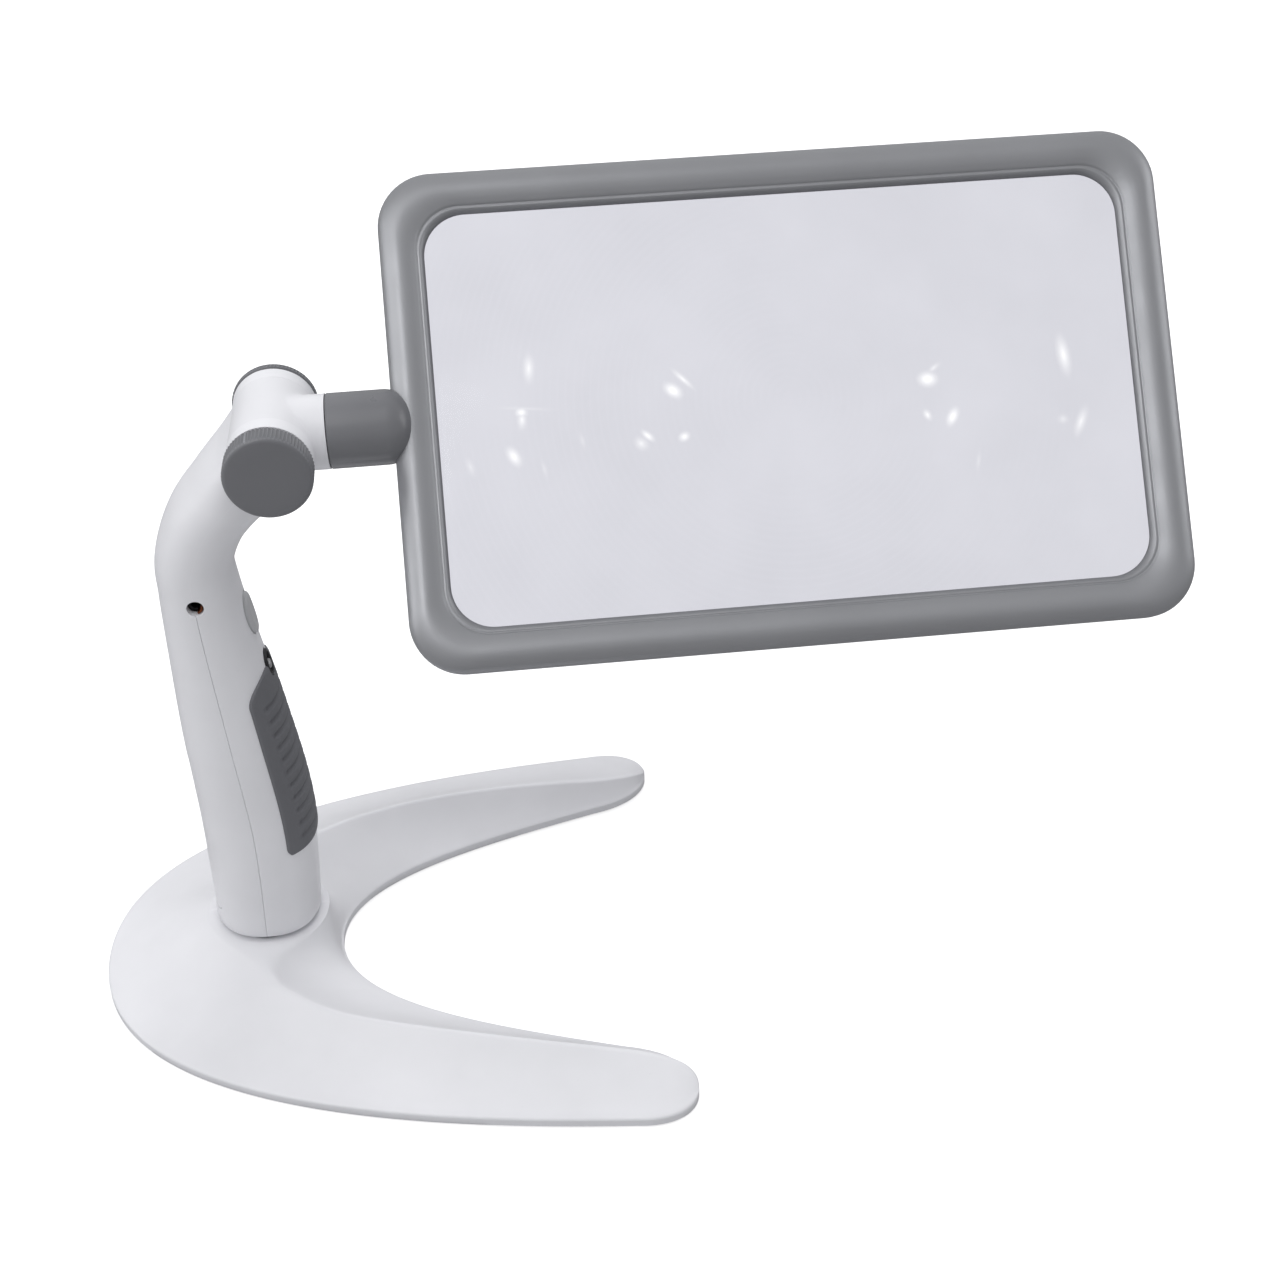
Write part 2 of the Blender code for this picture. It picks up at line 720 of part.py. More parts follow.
def battery_cell(name, angle):
    """A small cylindrical cell with a chamfered can and a raised contact."""
    chamfer = 0.4
    contact = (1.9, 1.0)
    low = CARRIER_Z[0] + CARRIER_DISC[1] + GAP
    high = low + CELL_LENGTH - contact[1]
    radius = CELL_RADIUS
    profile = ((0, low), (radius - chamfer, low), (radius, low + chamfer), (radius, high - chamfer),
               (radius - chamfer, high), (contact[0], high), (contact[0], high + contact[1]),
               (0, high + contact[1]))
    centre = (SOCKET_X + CELL_RING * math.cos(angle), CELL_RING * math.sin(angle), 0)
    return turned(name, profile, cell_wrap, segments=16, centre=centre)


def contact_spring():
    """A coil between the plug and the carrier."""
    turns = 3.5
    steps = 35
    sides = 4
    wire = 0.4
    radius = 4.0
    low = PLUG_Z[1] + 4.8
    high = CARRIER_Z[0] - 0.8
    rings = []
    for k in range(steps + 1):
        share = k / steps
        angle = 2 * math.pi * turns * share
        z = low + (high - low) * share
        out = Vector((math.cos(angle), math.sin(angle), 0))
        ring = []
        for m in range(sides):
            turn = 2 * math.pi * m / sides
            offset = out * (radius + wire * math.cos(turn)) + Vector((SOCKET_X, 0, z + wire * math.sin(turn)))
            ring.append(offset)
        rings.append(ring)
    return loft("contact_spring", rings, steel)


def circuit_board():
    """The driver board, standing behind the button and the slider."""
    half_width = 7.5
    low, high = BOARD_Z
    front_corner = (BOARD_X[0], -half_width, low)
    rear_corner = (BOARD_X[1], half_width, high)
    return block("circuit_board", front_corner, rear_corner, board_green)


def board_block(name, z, half_width, half_height, height, look):
    """A component that stands on the front of the driver board."""
    start = BOARD_X[1] + GAP
    low = (start, -half_width, z - half_height)
    high = (start + height, half_width, z + half_height)
    return block(name, low, high, look)


def dc_jack():
    """The power socket behind the side hole: a barrel round a centre pin."""
    x, z = JACK_POS
    floor, bottom, mouth, tip = (-3.0, -4.6, -10.8, -10.0)
    outer, bore, pin = (3.6, 1.7, 0.7)
    profile = ((0, tip), (pin, tip), (pin, bottom), (bore, bottom), (bore, mouth), (outer, mouth),
               (outer, floor), (0, floor))
    return turned("dc_jack", profile, black_plastic, segments=20, axis="Y", centre=(x, 0, z))


def build_handle(socket):
    pieces = [
        front_shell(),
        rear_shell(),
        battery_door(),
        grip_pad(),
        power_button(),
        switch_surround(),
        brightness_slider(),
        handle_plug(),
        battery_carrier(),
        contact_spring(),
        circuit_board(),
        board_block("button_switch", BUTTON_Z, 3.0, 3.0, 3.6, black_plastic),
        board_block("slide_switch_body", SWITCH_Z, 2.6, 4.5, 7.0, steel),
        dc_jack(),
    ]
    pieces += [battery_cell(f"battery_cell_{n}", math.radians(120 * n - 60)) for n in (1, 2, 3)]
    hang(pieces, socket)


# ---------------------------------------------------------------- knuckle

def tension_knob(parent):
    """The fluted knob on the front end of the bolt, with chamfered edges."""
    low, high = KNOB_Y
    flutes = 32
    notch_share = 0.985
    rings = []
    levels = ((0.93, low), (1.0, low + 0.8), (1.0, high - 1.6), (0.93, high - 0.5), (0.80, high))
    for share, y in levels:
        ring = []
        for k in range(2 * flutes):
            angle = math.pi * k / flutes
            notch = notch_share if k % 2 and share == 1.0 else 1.0
            radius = KNOB_RADIUS * share * notch
            ring.append(Vector((radius * math.cos(angle), -y, radius * math.sin(angle))))
        rings.append(ring)
    return loft("tension_knob", rings, grey_plastic, parent)


def end_cap(parent):
    low = EAR_Y[1] + GAP
    high = low + CAP_THICK
    profile = ((0, low), (KNOB_RADIUS - 0.6, low), (KNOB_RADIUS, low + 0.5), (KNOB_RADIUS, high - 0.8),
               (KNOB_RADIUS - 0.8, high), (0, high))
    return turned("end_cap", profile, grey_plastic, parent, segments=40, axis="Y")


def friction_washer(name, side, parent):
    low, high = sorted((side * (HUB_HALF + GAP), side * (EAR_Y[0] - GAP)))
    return ring_part(name, BOLT_RADIUS + 0.4, 9.0, low, high, steel, parent, axis="Y")


def hinge_bolt(parent):
    return rod("hinge_bolt", BOLT_RADIUS, -EAR_Y[1], EAR_Y[1], steel, parent, segments=20, axis="Y")


def arm_hub(parent):
    """The white hub that turns on the bolt, with the stub that carries the swivel."""
    hub = rod("arm_hub", BARREL_RADIUS, -HUB_HALF, HUB_HALF, white_plastic, parent, segments=40, axis="Y")
    stub = rod("hub_stub", STUB_RADIUS, 0, STUB_END, None, parent, segments=40, axis="X")
    combine(hub, stub, "UNION")
    bore = rod("hub_bore", BOLT_RADIUS + GAP, -30, 30, None, parent, segments=20, axis="Y")
    combine(hub, bore, "DIFFERENCE")
    seat = rod("bush_seat", 8.1, 5.6, 30, None, parent, segments=24, axis="X")
    combine(hub, seat, "DIFFERENCE")
    return hub


def swivel_bush(parent):
    start, end = 8.7, STUB_END - 0.2
    return ring_part("swivel_bush", SHAFT_RADIUS + GAP, 7.8, start, end, black_plastic, parent, axis="X")


def retaining_clip(parent):
    return ring_part("retaining_clip", SHAFT_RADIUS + GAP, 6.4, 7.2, 8.3, steel, parent, axis="X")


def swivel_shaft(parent):
    return ring_part("swivel_shaft", 2.0, SHAFT_RADIUS, *SHAFT_SPAN, steel, parent, axis="X")


def swivel_sleeve(parent):
    """The grey sleeve that joins the lens frame to the arm, with a domed end over the frame's rail."""
    start = STUB_END + GAP
    corner = 4.2
    tip = 0.8
    profile = [(0, start), (STUB_RADIUS, start), (STUB_RADIUS, SLEEVE_END - SLEEVE_DOME)]
    for k in range(1, 6):
        angle = math.pi / 2 * k / 6
        radius = STUB_RADIUS - corner + corner * math.cos(angle)
        profile.append((radius, SLEEVE_END - SLEEVE_DOME + (SLEEVE_DOME - tip) * math.sin(angle)))
    profile += [(4.0, SLEEVE_END - 0.2), (0, SLEEVE_END)]
    sleeve = turned("swivel_sleeve", profile, grey_plastic, parent, segments=40, axis="X")
    bore = rod("sleeve_bore", SHAFT_RADIUS + GAP, 0, SHAFT_SPAN[1] + 0.4, None, parent, segments=20, axis="X")
    combine(sleeve, bore, "DIFFERENCE")
    return sleeve


def build_knuckle(barrel, arm):
    tension_knob(barrel)
    end_cap(barrel)
    hinge_bolt(barrel)
    friction_washer("friction_washer_front", -1, barrel)
    friction_washer("friction_washer_rear", 1, barrel)
    arm_hub(arm)
    swivel_bush(arm)


# ---------------------------------------------------------------- lens frame

def rounded_loop(inset, z, corner_steps=5):
    """A rounded rectangle in the frame's plane, drawn in from its outer edge by inset."""
    half_x = HALF_LENGTH - inset
    half_y = HALF_HEIGHT - inset
    corner = OUTER_CORNER + (OPENING_CORNER - OUTER_CORNER) * inset / RAIL
    loop = []
    for quarter in range(4):
        side_x = (1, -1, -1, 1)[quarter]
        side_y = (1, 1, -1, -1)[quarter]
        centre = Vector((side_x * (half_x - corner), side_y * (half_y - corner), z))
        for k in range(corner_steps + 1):
            angle = math.pi / 2 * (quarter + k / corner_steps)
            loop.append(centre + Vector((corner * math.cos(angle), corner * math.sin(angle), 0)))
    return loop


def frame_ring(name, section, look, parent):
    """A rail section carried round the rounded rectangle."""
    loops = [rounded_loop(inset, z) for inset, z in section]
    return loft(name, loops, look, parent, closed_path=True)


def sleeve_clearance(name, parent):
    centre = (-FRAME_CENTRE, 0, 0)
    radius = STUB_RADIUS + GAP
    return rod(name, radius, 10, SLEEVE_END + GAP, None, parent, segments=40, axis="X", centre=centre)


def frame_front(parent):
    bezel = frame_ring("frame_bezel", BEZEL_SECTION, silver_plastic, parent)
    for number, (x, y) in enumerate(FRAME_SCREWS, 1):
        centre = (x, y, 0)
        boss = rod(f"bezel_boss_{number}", 2.4, 0.15, 3.6, None, parent, 12, centre=centre)
        combine(bezel, boss, "UNION")
        pilot = rod(f"bezel_pilot_{number}", 1.3, -5, 2.6, None, parent, 10, centre=centre)
        combine(bezel, pilot, "DIFFERENCE")
    combine(bezel, sleeve_clearance("bezel_notch", parent), "DIFFERENCE")
    return bezel


def frame_back(parent):
    back = frame_ring("frame_back", BACK_SECTION, silver_plastic, parent)
    recess = ((0, -9), (2.6, -9), (2.6, -4.1), (1.4, -4.1), (1.4, 3), (0, 3))
    for number, (x, y) in enumerate(FRAME_SCREWS, 1):
        hole = turned(f"back_hole_{number}", recess, None, parent, 12, centre=(x, y, 0))
        combine(back, hole, "DIFFERENCE")
    for name, side in (("left", -1), ("right", 1)):
        combine(back, lamp_block(f"window_slot_{name}", side, GAP, -9, 0, None, parent), "DIFFERENCE")
    combine(back, sleeve_clearance("back_notch", parent), "DIFFERENCE")
    return back


def lamp_block(name, side, margin, low, high, look, parent):
    """A long block along one short rail of the frame, where the lamps are."""
    centre_x = side * (HALF_LENGTH - LAMP_INSET)
    half = 0.9 + margin
    reach = LAMP_REACH + margin
    return block(name, (centre_x - half, -reach, low), (centre_x + half, reach, high), look, parent)


def lens(parent):
    section = [rounded_loop(LENS_INSET, z) for z in (-LENS_HALF_THICK, LENS_HALF_THICK)]
    return loft("lens", section, clear_lens, parent)


def led_board(name, side, parent):
    return lamp_block(name, side, 0.2, 0.6, 1.6, board_green, parent)


def led_window(name, side, parent):
    return lamp_block(name, side, 0, -4.7, -3.4, frosted_window, parent)


def frame_screw(name, x, y, parent):
    profile = ((0, -4.9), (2.2, -4.9), (2.2, -4.4), (1.0, -4.4), (1.0, 2.2), (0, 2.2))
    return turned(name, profile, steel, parent, 10, centre=(x, y, 0))


def build_frame(swivel):
    plane = empty("frame_plane", (FRAME_CENTRE, 0, 0), swivel)
    swivel_shaft(swivel)
    retaining_clip(swivel)
    swivel_sleeve(swivel)
    frame_front(plane)
    frame_back(plane)
    lens(plane)
    for name, side in (("left", -1), ("right", 1)):
        led_board(f"led_board_{name}", side, plane)
        led_window(f"led_window_{name}", side, plane)
    for number, (x, y) in enumerate(FRAME_SCREWS, 1):
        frame_screw(f"frame_screw_{number}", x, y, plane)


def main():
    for old in list(bpy.data.objects):
        bpy.data.objects.remove(old, do_unlink=True)
    socket = empty("socket_axis", (SOCKET_X, 0, 0))
    barrel = empty("barrel_axis", (BARREL_X - SOCKET_X, 0, BARREL_Z), socket)
    arm = empty("arm_axis", parent=barrel, turn=(0, math.radians(-ARM_RISE_DEG), 0))
    swivel = empty("swivel_axis", parent=arm, turn=(math.radians(FRAME_TILT_DEG), 0, 0))
    build_stand()
    build_handle(socket)
    build_knuckle(barrel, arm)
    build_frame(swivel)
    for made in bpy.data.objects:
        if made.parent is None:
            made.location.x -= MIDDLE_X * MM
    bpy.context.view_layer.update()


main()
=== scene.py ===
"""Looks of the low vision magnifier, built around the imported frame.

Shapes are worked out in millimetres in the stand's own plan, where the handle's socket axis and the tilt
barrel sit as the frame places them, and are then moved into the row frame.
"""

import json
import math

import bmesh
import bpy
from mathutils import Matrix, Vector


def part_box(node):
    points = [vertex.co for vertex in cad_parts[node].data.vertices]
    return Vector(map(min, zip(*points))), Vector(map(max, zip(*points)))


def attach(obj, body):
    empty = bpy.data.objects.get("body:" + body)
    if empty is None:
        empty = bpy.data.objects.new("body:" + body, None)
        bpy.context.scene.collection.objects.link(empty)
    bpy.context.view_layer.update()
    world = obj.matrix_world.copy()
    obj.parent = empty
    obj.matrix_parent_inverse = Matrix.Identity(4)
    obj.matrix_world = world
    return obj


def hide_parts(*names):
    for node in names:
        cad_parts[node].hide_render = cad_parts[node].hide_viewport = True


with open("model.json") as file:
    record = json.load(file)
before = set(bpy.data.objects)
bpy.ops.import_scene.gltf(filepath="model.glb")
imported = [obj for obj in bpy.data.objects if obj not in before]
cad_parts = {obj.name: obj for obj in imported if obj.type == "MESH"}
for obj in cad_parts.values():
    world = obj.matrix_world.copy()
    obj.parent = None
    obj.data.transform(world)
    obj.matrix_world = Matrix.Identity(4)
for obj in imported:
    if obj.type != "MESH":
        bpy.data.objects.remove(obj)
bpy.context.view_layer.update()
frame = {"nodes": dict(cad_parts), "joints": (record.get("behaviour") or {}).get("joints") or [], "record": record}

MM = 0.001
TAU = 2 * math.pi


def joint(name):
    return next(j for j in frame["joints"] if j["name"] == name)


def box_middle(node):
    low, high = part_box(node)
    return (low + high) / 2


# Places that the frame gives
SOCKET_X = -8.9
SHIFT = Matrix.Translation((box_middle("handle_plug").x - SOCKET_X * MM, 0, 0))
BARREL = Vector(joint("arm_tilt")["pos_m"])
ARM_AXIS = Vector(joint("frame_swivel")["axis"])
FRAME_TILT = math.radians(51.2)
FRAME_CENTRE = 141.7
ARM = Matrix.Translation(BARREL) @ Matrix.Rotation(-math.atan2(ARM_AXIS.z, ARM_AXIS.x), 4, "Y")
BARREL_PLACE = Matrix.Translation(BARREL)
SWIVEL = ARM @ Matrix.Rotation(FRAME_TILT, 4, "X")
PLANE = SWIVEL @ Matrix.Translation((FRAME_CENTRE * MM, 0, 0))

# Stand: the curves' control points lie in its plan; the rest are heights, radii and shares along the arm
OUTER_CURVE = ((-62, 0), (-62, 43), (-21, 77), (100, 86.7))
TIP_CURVE = ((100, 86.7), (125, 90.5), (128, 64), (100, 57.3))
INNER_CURVE = ((100, 57.3), (55, 43), (13, 29), (13, 0))
BODY_SHARE = 0.86
TIP_START = 0.84
TIP_REACH = 0.1575
COLLAR_SHARE = 0.30
RIM_Z = 0.8
EDGE_Z = 3.9
CREASE_ARM_Z = 15.5
COLLAR_Z = 20.5
COLLAR_RADIUS = 18.6
SOCKET_BORE = 13.9

# Handle: centreline stations x, z, half depth, half width
HANDLE_STATIONS = (
    (-8.9, 20.9, 16.3, 16.3),
    (-8.5, 60.0, 16.9, 16.6),
    (-11.4, 95.0, 15.3, 16.0),
    (-14.1, 124.0, 12.8, 14.9),
    (-15.5, 142.0, 11.3, 14.2),
    (-15.4, 153.0, 10.9, 14.0),
    (-10.7, 164.9, 10.9, 14.6),
    (-3.3, 174.4, 10.9, 15.9),
    (3.9, 182.0, 10.9, 16.5),
    (10.0, 189.0, 11.2, 16.6),
)
SQUARENESS = 2.25
NECK_SQUARENESS = 3.0
NECK_START = 0.74
SHELL_END = 0.965
WALL = 2.6
GRIP_Z = (52.0, 114.5)
GRIP_SHOULDER_Z = 106.5
GRIP_ANGLES = (61.0, 60.0)
RIB_PITCH = 4.7
RIB_FIRST = 57.0
RIB_COUNT = 11
RIB_DEPTH = 0.74
RIB_HALF_WIDTH = 1.2
RIB_REACH_DEG = 44
RIB_FADE_DEG = 7
DOOR_Z = (28.0, 86.0)
DOOR_HALF_WIDTH = 10.5
DOOR_CORNER = 2.6
BUTTON_Z = 131.5
BUTTON_SIZE = (13.4, 7.8)
SWITCH_Z = 113.5
SWITCH_OPENING = (4.5, 2.9)
SWITCH_RIM = (4.2, 2.6)
SLIDER_SIZE = (1.5, 1.2)
JACK_X = -15.4
JACK_Z = 143.5
JACK_RADIUS = 2.4

# Knuckle
BARREL_RADIUS = 11.6
BARREL_BITE = 0.06
HUB_REACH = 13.0
BOLT_BORE = 3.3
BUSH_BORE = 8.1
EAR_Y = (13.1, 17.0)
KNOB_RADIUS = 12.0
STUB_RADIUS = 10.3
STUB_END = 15.0
STUB_SWEEP_DEG = (-29, -20, -11)
STUB_ROOM = 0.4
SLEEVE_END = 38.6
SLEEVE_DOME = 8.0

# Lens frame
HALF_LENGTH = 109.0
HALF_HEIGHT = 69.1
OUTER_CORNER = 15.0
OPENING_CORNER = 11.6
RAIL = 12.1
LENS_INSET = 10.6
WINDOW_INSET = 7.6

# Studio
FLOOR_GLOW = 0.72
LENS_MM = 53.35
SENSOR_MM = 36.0
EYE = (0.06053, -0.46425, 0.43464)
TARGET = (0.12833, 0.16499, 0.0)
SOFT_MIDDLE = (0, 0, 0.15)


# ---------------------------------------------------------------- materials

def new_material(name):
    made = bpy.data.materials.new(name)
    made.use_nodes = True
    tree = made.node_tree
    return made, tree, tree.nodes["Principled BSDF"]


def add(tree, kind, **inputs):
    """A node with its inputs set by name."""
    node = tree.nodes.new(kind)
    for key, value in inputs.items():
        node.inputs[key.replace("_", " ")].default_value = value
    return node


def noise(tree, coords, scale, detail=3.0, rough=0.5):
    node = add(tree, "ShaderNodeTexNoise", Scale=scale, Detail=detail, Roughness=rough)
    tree.links.new(coords, node.inputs["Vector"])
    return node.outputs["Fac"]


def ramp(tree, value, low, high, out_low, out_high):
    node = tree.nodes.new("ShaderNodeMapRange")
    node.clamp = True
    keys = ("From Min", "From Max", "To Min", "To Max")
    for key, number in zip(keys, (low, high, out_low, out_high)):
        node.inputs[key].default_value = number
    tree.links.new(value, node.inputs["Value"])
    return node.outputs["Result"]


def multiply(tree, first, second):
    product = tree.nodes.new("ShaderNodeMath")
    product.operation = "MULTIPLY"
    tree.links.new(first, product.inputs[0])
    tree.links.new(second, product.inputs[1])
    return product.outputs["Value"]


def mix_colour(tree, factor, first, second):
    node = tree.nodes.new("ShaderNodeMix")
    node.data_type = "RGBA"
    tree.links.new(factor, node.inputs[0])
    for socket, colour in ((node.inputs[6], first), (node.inputs[7], second)):
        if hasattr(colour, "type"):
            tree.links.new(colour, socket)
        else:
            socket.default_value = (*colour, 1.0)
    return node.outputs[2]


def shade(colour, factor):
    return tuple(min(1.0, c * factor) for c in colour)


def moulded(name, colour, rough, grain=0.05, metallic=0.0, grain_scale=2600.0, edge_wear_highlight=1.06,
            coat=0.0, hollow_shade=1.0):
    """Moulded or painted plastic: faint mottling, a fine grain, edges lightened as wear and as a painted edge
    highlight, painted shade in hollows, smudged gloss.
    """
    made, tree, shader = new_material(name)
    coords = tree.nodes.new("ShaderNodeTexCoord").outputs["Object"]
    mottle = ramp(tree, noise(tree, coords, 38.0, 4.0), 0.35, 0.65, 0.0, 1.0)
    body = mix_colour(tree, mottle, shade(colour, 0.975), shade(colour, 1.015))
    speck = ramp(tree, noise(tree, coords, 900.0, 2.0), 0.70, 0.78, 0.0, 0.25)
    body = mix_colour(tree, speck, body, shade(colour, 0.9))
    pointy = tree.nodes.new("ShaderNodeNewGeometry").outputs["Pointiness"]
    # Edges lightened, partly as wear and partly as a painted edge highlight.
    edge = ramp(tree, pointy, 0.53, 0.62, 0.0, 1.0)
    body = mix_colour(tree, edge, body, shade(colour, edge_wear_highlight))
    # Painted shade: hollows and grooves darkened.
    painted_hollow_shade = ramp(tree, pointy, 0.42, 0.49, 1.0, 0.0)
    body = mix_colour(tree, painted_hollow_shade, body, shade(colour, hollow_shade))
    tree.links.new(body, shader.inputs["Base Color"])
    smudge = noise(tree, coords, 55.0, 5.0, 0.6)
    tree.links.new(ramp(tree, smudge, 0.3, 0.7, rough - 0.04, rough + 0.06), shader.inputs["Roughness"])
    fine = noise(tree, coords, grain_scale, 2.0)
    bump = add(tree, "ShaderNodeBump", Strength=grain, Distance=0.0002)
    tree.links.new(fine, bump.inputs["Height"])
    tree.links.new(bump.outputs["Normal"], shader.inputs["Normal"])
    shader.inputs["Metallic"].default_value = metallic
    shader.inputs["Coat Weight"].default_value = coat
    shader.inputs["Coat Roughness"].default_value = 0.25
    return made


def brushed(name, colour, rough):
    """Metal with drawn-out scratches."""
    made, tree, shader = new_material(name)
    coords = tree.nodes.new("ShaderNodeTexCoord").outputs["Object"]
    stretch = tree.nodes.new("ShaderNodeMapping")
    stretch.inputs["Scale"].default_value = (120.0, 2400.0, 2400.0)
    tree.links.new(coords, stretch.inputs["Vector"])
    lines = noise(tree, stretch.outputs["Vector"], 1.0, 4.0)
    body = mix_colour(tree, lines, shade(colour, 0.85), shade(colour, 1.1))
    tree.links.new(body, shader.inputs["Base Color"])
    tree.links.new(ramp(tree, lines, 0.3, 0.7, rough - 0.06, rough + 0.1), shader.inputs["Roughness"])
    bump = add(tree, "ShaderNodeBump", Strength=0.12, Distance=0.0001)
    tree.links.new(lines, bump.inputs["Height"])
    tree.links.new(bump.outputs["Normal"], shader.inputs["Normal"])
    shader.inputs["Metallic"].default_value = 1.0
    return made


def board_material():
    """Solder mask with copper lines under it."""
    made, tree, shader = new_material("board_look")
    coords = tree.nodes.new("ShaderNodeTexCoord").outputs["Object"]
    grid = tree.nodes.new("ShaderNodeTexBrick")
    grid.inputs["Scale"].default_value = 260.0
    grid.inputs["Mortar Size"].default_value = 0.03
    tree.links.new(coords, grid.inputs["Vector"])
    body = mix_colour(tree, grid.outputs["Fac"], (0.012, 0.11, 0.045), (0.03, 0.24, 0.09))
    tree.links.new(body, shader.inputs["Base Color"])
    shader.inputs["Roughness"].default_value = 0.4
    return made


def painted_glint_field(tree, coords, spots):
    """Painted glints: soft bright marks; each spot is x, y, half length and half width in mm, turn in degrees,
    strength.
    """
    total = None
    for x, y, long, wide, turn, strength in spots:
        place = tree.nodes.new("ShaderNodeMapping")
        place.vector_type = "TEXTURE"
        place.inputs["Location"].default_value = (x * MM, y * MM, 0)
        place.inputs["Rotation"].default_value = (0, 0, math.radians(turn))
        place.inputs["Scale"].default_value = (long * MM, wide * MM, 1.0)
        tree.links.new(coords, place.inputs["Vector"])
        flat = tree.nodes.new("ShaderNodeVectorMath")
        flat.operation = "MULTIPLY"
        flat.inputs[1].default_value = (1, 1, 0)
        tree.links.new(place.outputs["Vector"], flat.inputs[0])
        length = tree.nodes.new("ShaderNodeVectorMath")
        length.operation = "LENGTH"
        tree.links.new(flat.outputs["Vector"], length.inputs[0])
        spot = ramp(tree, length.outputs["Value"], 0.0, 1.0, 1.0, 0.0)
        soft = tree.nodes.new("ShaderNodeMath")
        soft.operation = "POWER"
        soft.inputs[1].default_value = 1.8
        tree.links.new(spot, soft.inputs[0])
        scaled = tree.nodes.new("ShaderNodeMath")
        scaled.operation = "MULTIPLY"
        scaled.inputs[1].default_value = strength
        tree.links.new(soft.outputs["Value"], scaled.inputs[0])
        if total is None:
            total = scaled.outputs["Value"]
            continue
        joined = tree.nodes.new("ShaderNodeMath")
        joined.operation = "MAXIMUM"
        tree.links.new(total, joined.inputs[0])
        tree.links.new(scaled.outputs["Value"], joined.inputs[1])
        total = joined.outputs["Value"]
    return total


# Painted glints on the lens, in its plane: x, y, half length, half width in mm, turn in degrees, strength.
PAINTED_GLINTS = (
    (-71, 13, 5.4, 2.1, 86, 0.55), (-74, 1, 2.3, 2.0, -4, 0.8), (-74, -1, 3.8, 1.8, 86, 0.55),
    (-73, 2, 11.5, 0.8, -6, 0.15), (-77, -11, 4.2, 2.4, -62, 0.8), (-89, -13, 3.8, 1.6, -74, 0.2),
    (-69, -15, 3.4, 1.2, -79, 0.15), (-32, 4, 3.9, 2.5, -39, 1.0), (-29, 7, 5.4, 1.2, -46, 0.6),
    (-40, -8, 3.1, 1.4, -44, 0.8), (-42, -10, 3.1, 2.5, -44, 0.45), (-30, -9, 2.3, 1.9, 26, 0.8),
    (-58, -8, 3.4, 1.2, -79, 0.15), (39, 2, 3.9, 3.0, -4, 1.0), (41, 5, 3.2, 1.3, 36, 0.35),
    (38, -8, 2.4, 1.5, -64, 0.65), (45, -9, 3.9, 2.1, 61, 0.9), (78, 6, 7.6, 2.6, -84, 0.7),
    (81, -13, 6.0, 2.1, 66, 0.5), (76, -12, 2.4, 2.1, -4, 0.25), (51, -22, 3.9, 1.1, 76, 0.15),
)


def lens_material():
    """Clear acrylic with a faint cool tint, fine Fresnel-like rings, and the glints of the studio lamps painted on
    as glowing marks.
    """
    made, tree, _ = new_material("lens_look")
    tree.nodes.clear()
    out = tree.nodes.new("ShaderNodeOutputMaterial")
    coords = tree.nodes.new("ShaderNodeTexCoord").outputs["Object"]
    move = tree.nodes.new("ShaderNodeVectorMath")
    move.operation = "MULTIPLY"
    move.inputs[1].default_value = (1, 1, 0)
    tree.links.new(coords, move.inputs[0])
    rings = tree.nodes.new("ShaderNodeTexWave")
    rings.wave_type = "RINGS"
    rings.rings_direction = "Z"
    rings.inputs["Scale"].default_value = 140.0
    rings.inputs["Distortion"].default_value = 0.0
    tree.links.new(move.outputs["Vector"], rings.inputs["Vector"])
    cloud = noise(tree, coords, 30.0, 4.0)
    patches = ramp(tree, cloud, 0.3, 0.7, 0.0, 1.0)
    tint = mix_colour(tree, patches, (0.715, 0.715, 0.74), (0.735, 0.735, 0.76))
    crests = ramp(tree, rings.outputs["Fac"], 0.8, 1.0, 0.0, 0.12)
    tint = mix_colour(tree, crests, tint, (0.75, 0.75, 0.775))
    clear = tree.nodes.new("ShaderNodeBsdfTransparent")
    shadow = tree.nodes.new("ShaderNodeLightPath").outputs["Is Shadow Ray"]
    tree.links.new(mix_colour(tree, shadow, tint, (0.60, 0.60, 0.61)), clear.inputs["Color"])
    gloss = tree.nodes.new("ShaderNodeBsdfGlossy")
    gloss.inputs["Roughness"].default_value = 0.06
    bump = add(tree, "ShaderNodeBump", Strength=0.02, Distance=0.0002)
    tree.links.new(rings.outputs["Fac"], bump.inputs["Height"])
    tree.links.new(bump.outputs["Normal"], gloss.inputs["Normal"])
    fresnel = tree.nodes.new("ShaderNodeFresnel")
    fresnel.inputs["IOR"].default_value = 1.12
    facing = tree.nodes.new("ShaderNodeNewGeometry")
    front = tree.nodes.new("ShaderNodeMath")
    front.operation = "SUBTRACT"
    front.inputs[0].default_value = 1.0
    tree.links.new(facing.outputs["Backfacing"], front.inputs[1])
    mirror = multiply(tree, fresnel.outputs["Fac"], front.outputs["Value"])
    surface = tree.nodes.new("ShaderNodeMixShader")
    tree.links.new(mirror, surface.inputs["Fac"])
    tree.links.new(clear.outputs["BSDF"], surface.inputs[1])
    tree.links.new(gloss.outputs["BSDF"], surface.inputs[2])
    # Painted glints: an emission that makes the marks glow on the lens's front side.
    glow = tree.nodes.new("ShaderNodeEmission")
    glow.inputs["Color"].default_value = (1.0, 1.0, 1.0, 1.0)
    glow.inputs["Strength"].default_value = 1.25
    upward = tree.nodes.new("ShaderNodeSeparateXYZ")
    tree.links.new(tree.nodes.new("ShaderNodeTexCoord").outputs["Normal"], upward.inputs["Vector"])
    reading_side = ramp(tree, upward.outputs["Z"], 0.4, 0.6, 0.0, 1.0)
    towards = multiply(tree, front.outputs["Value"], reading_side)
    share = multiply(tree, painted_glint_field(tree, coords, PAINTED_GLINTS), towards)
    shown = tree.nodes.new("ShaderNodeMixShader")
    tree.links.new(share, shown.inputs["Fac"])
    tree.links.new(surface.outputs["Shader"], shown.inputs[1])
    tree.links.new(glow.outputs["Emission"], shown.inputs[2])
    tree.links.new(shown.outputs["Shader"], out.inputs["Surface"])
    return made


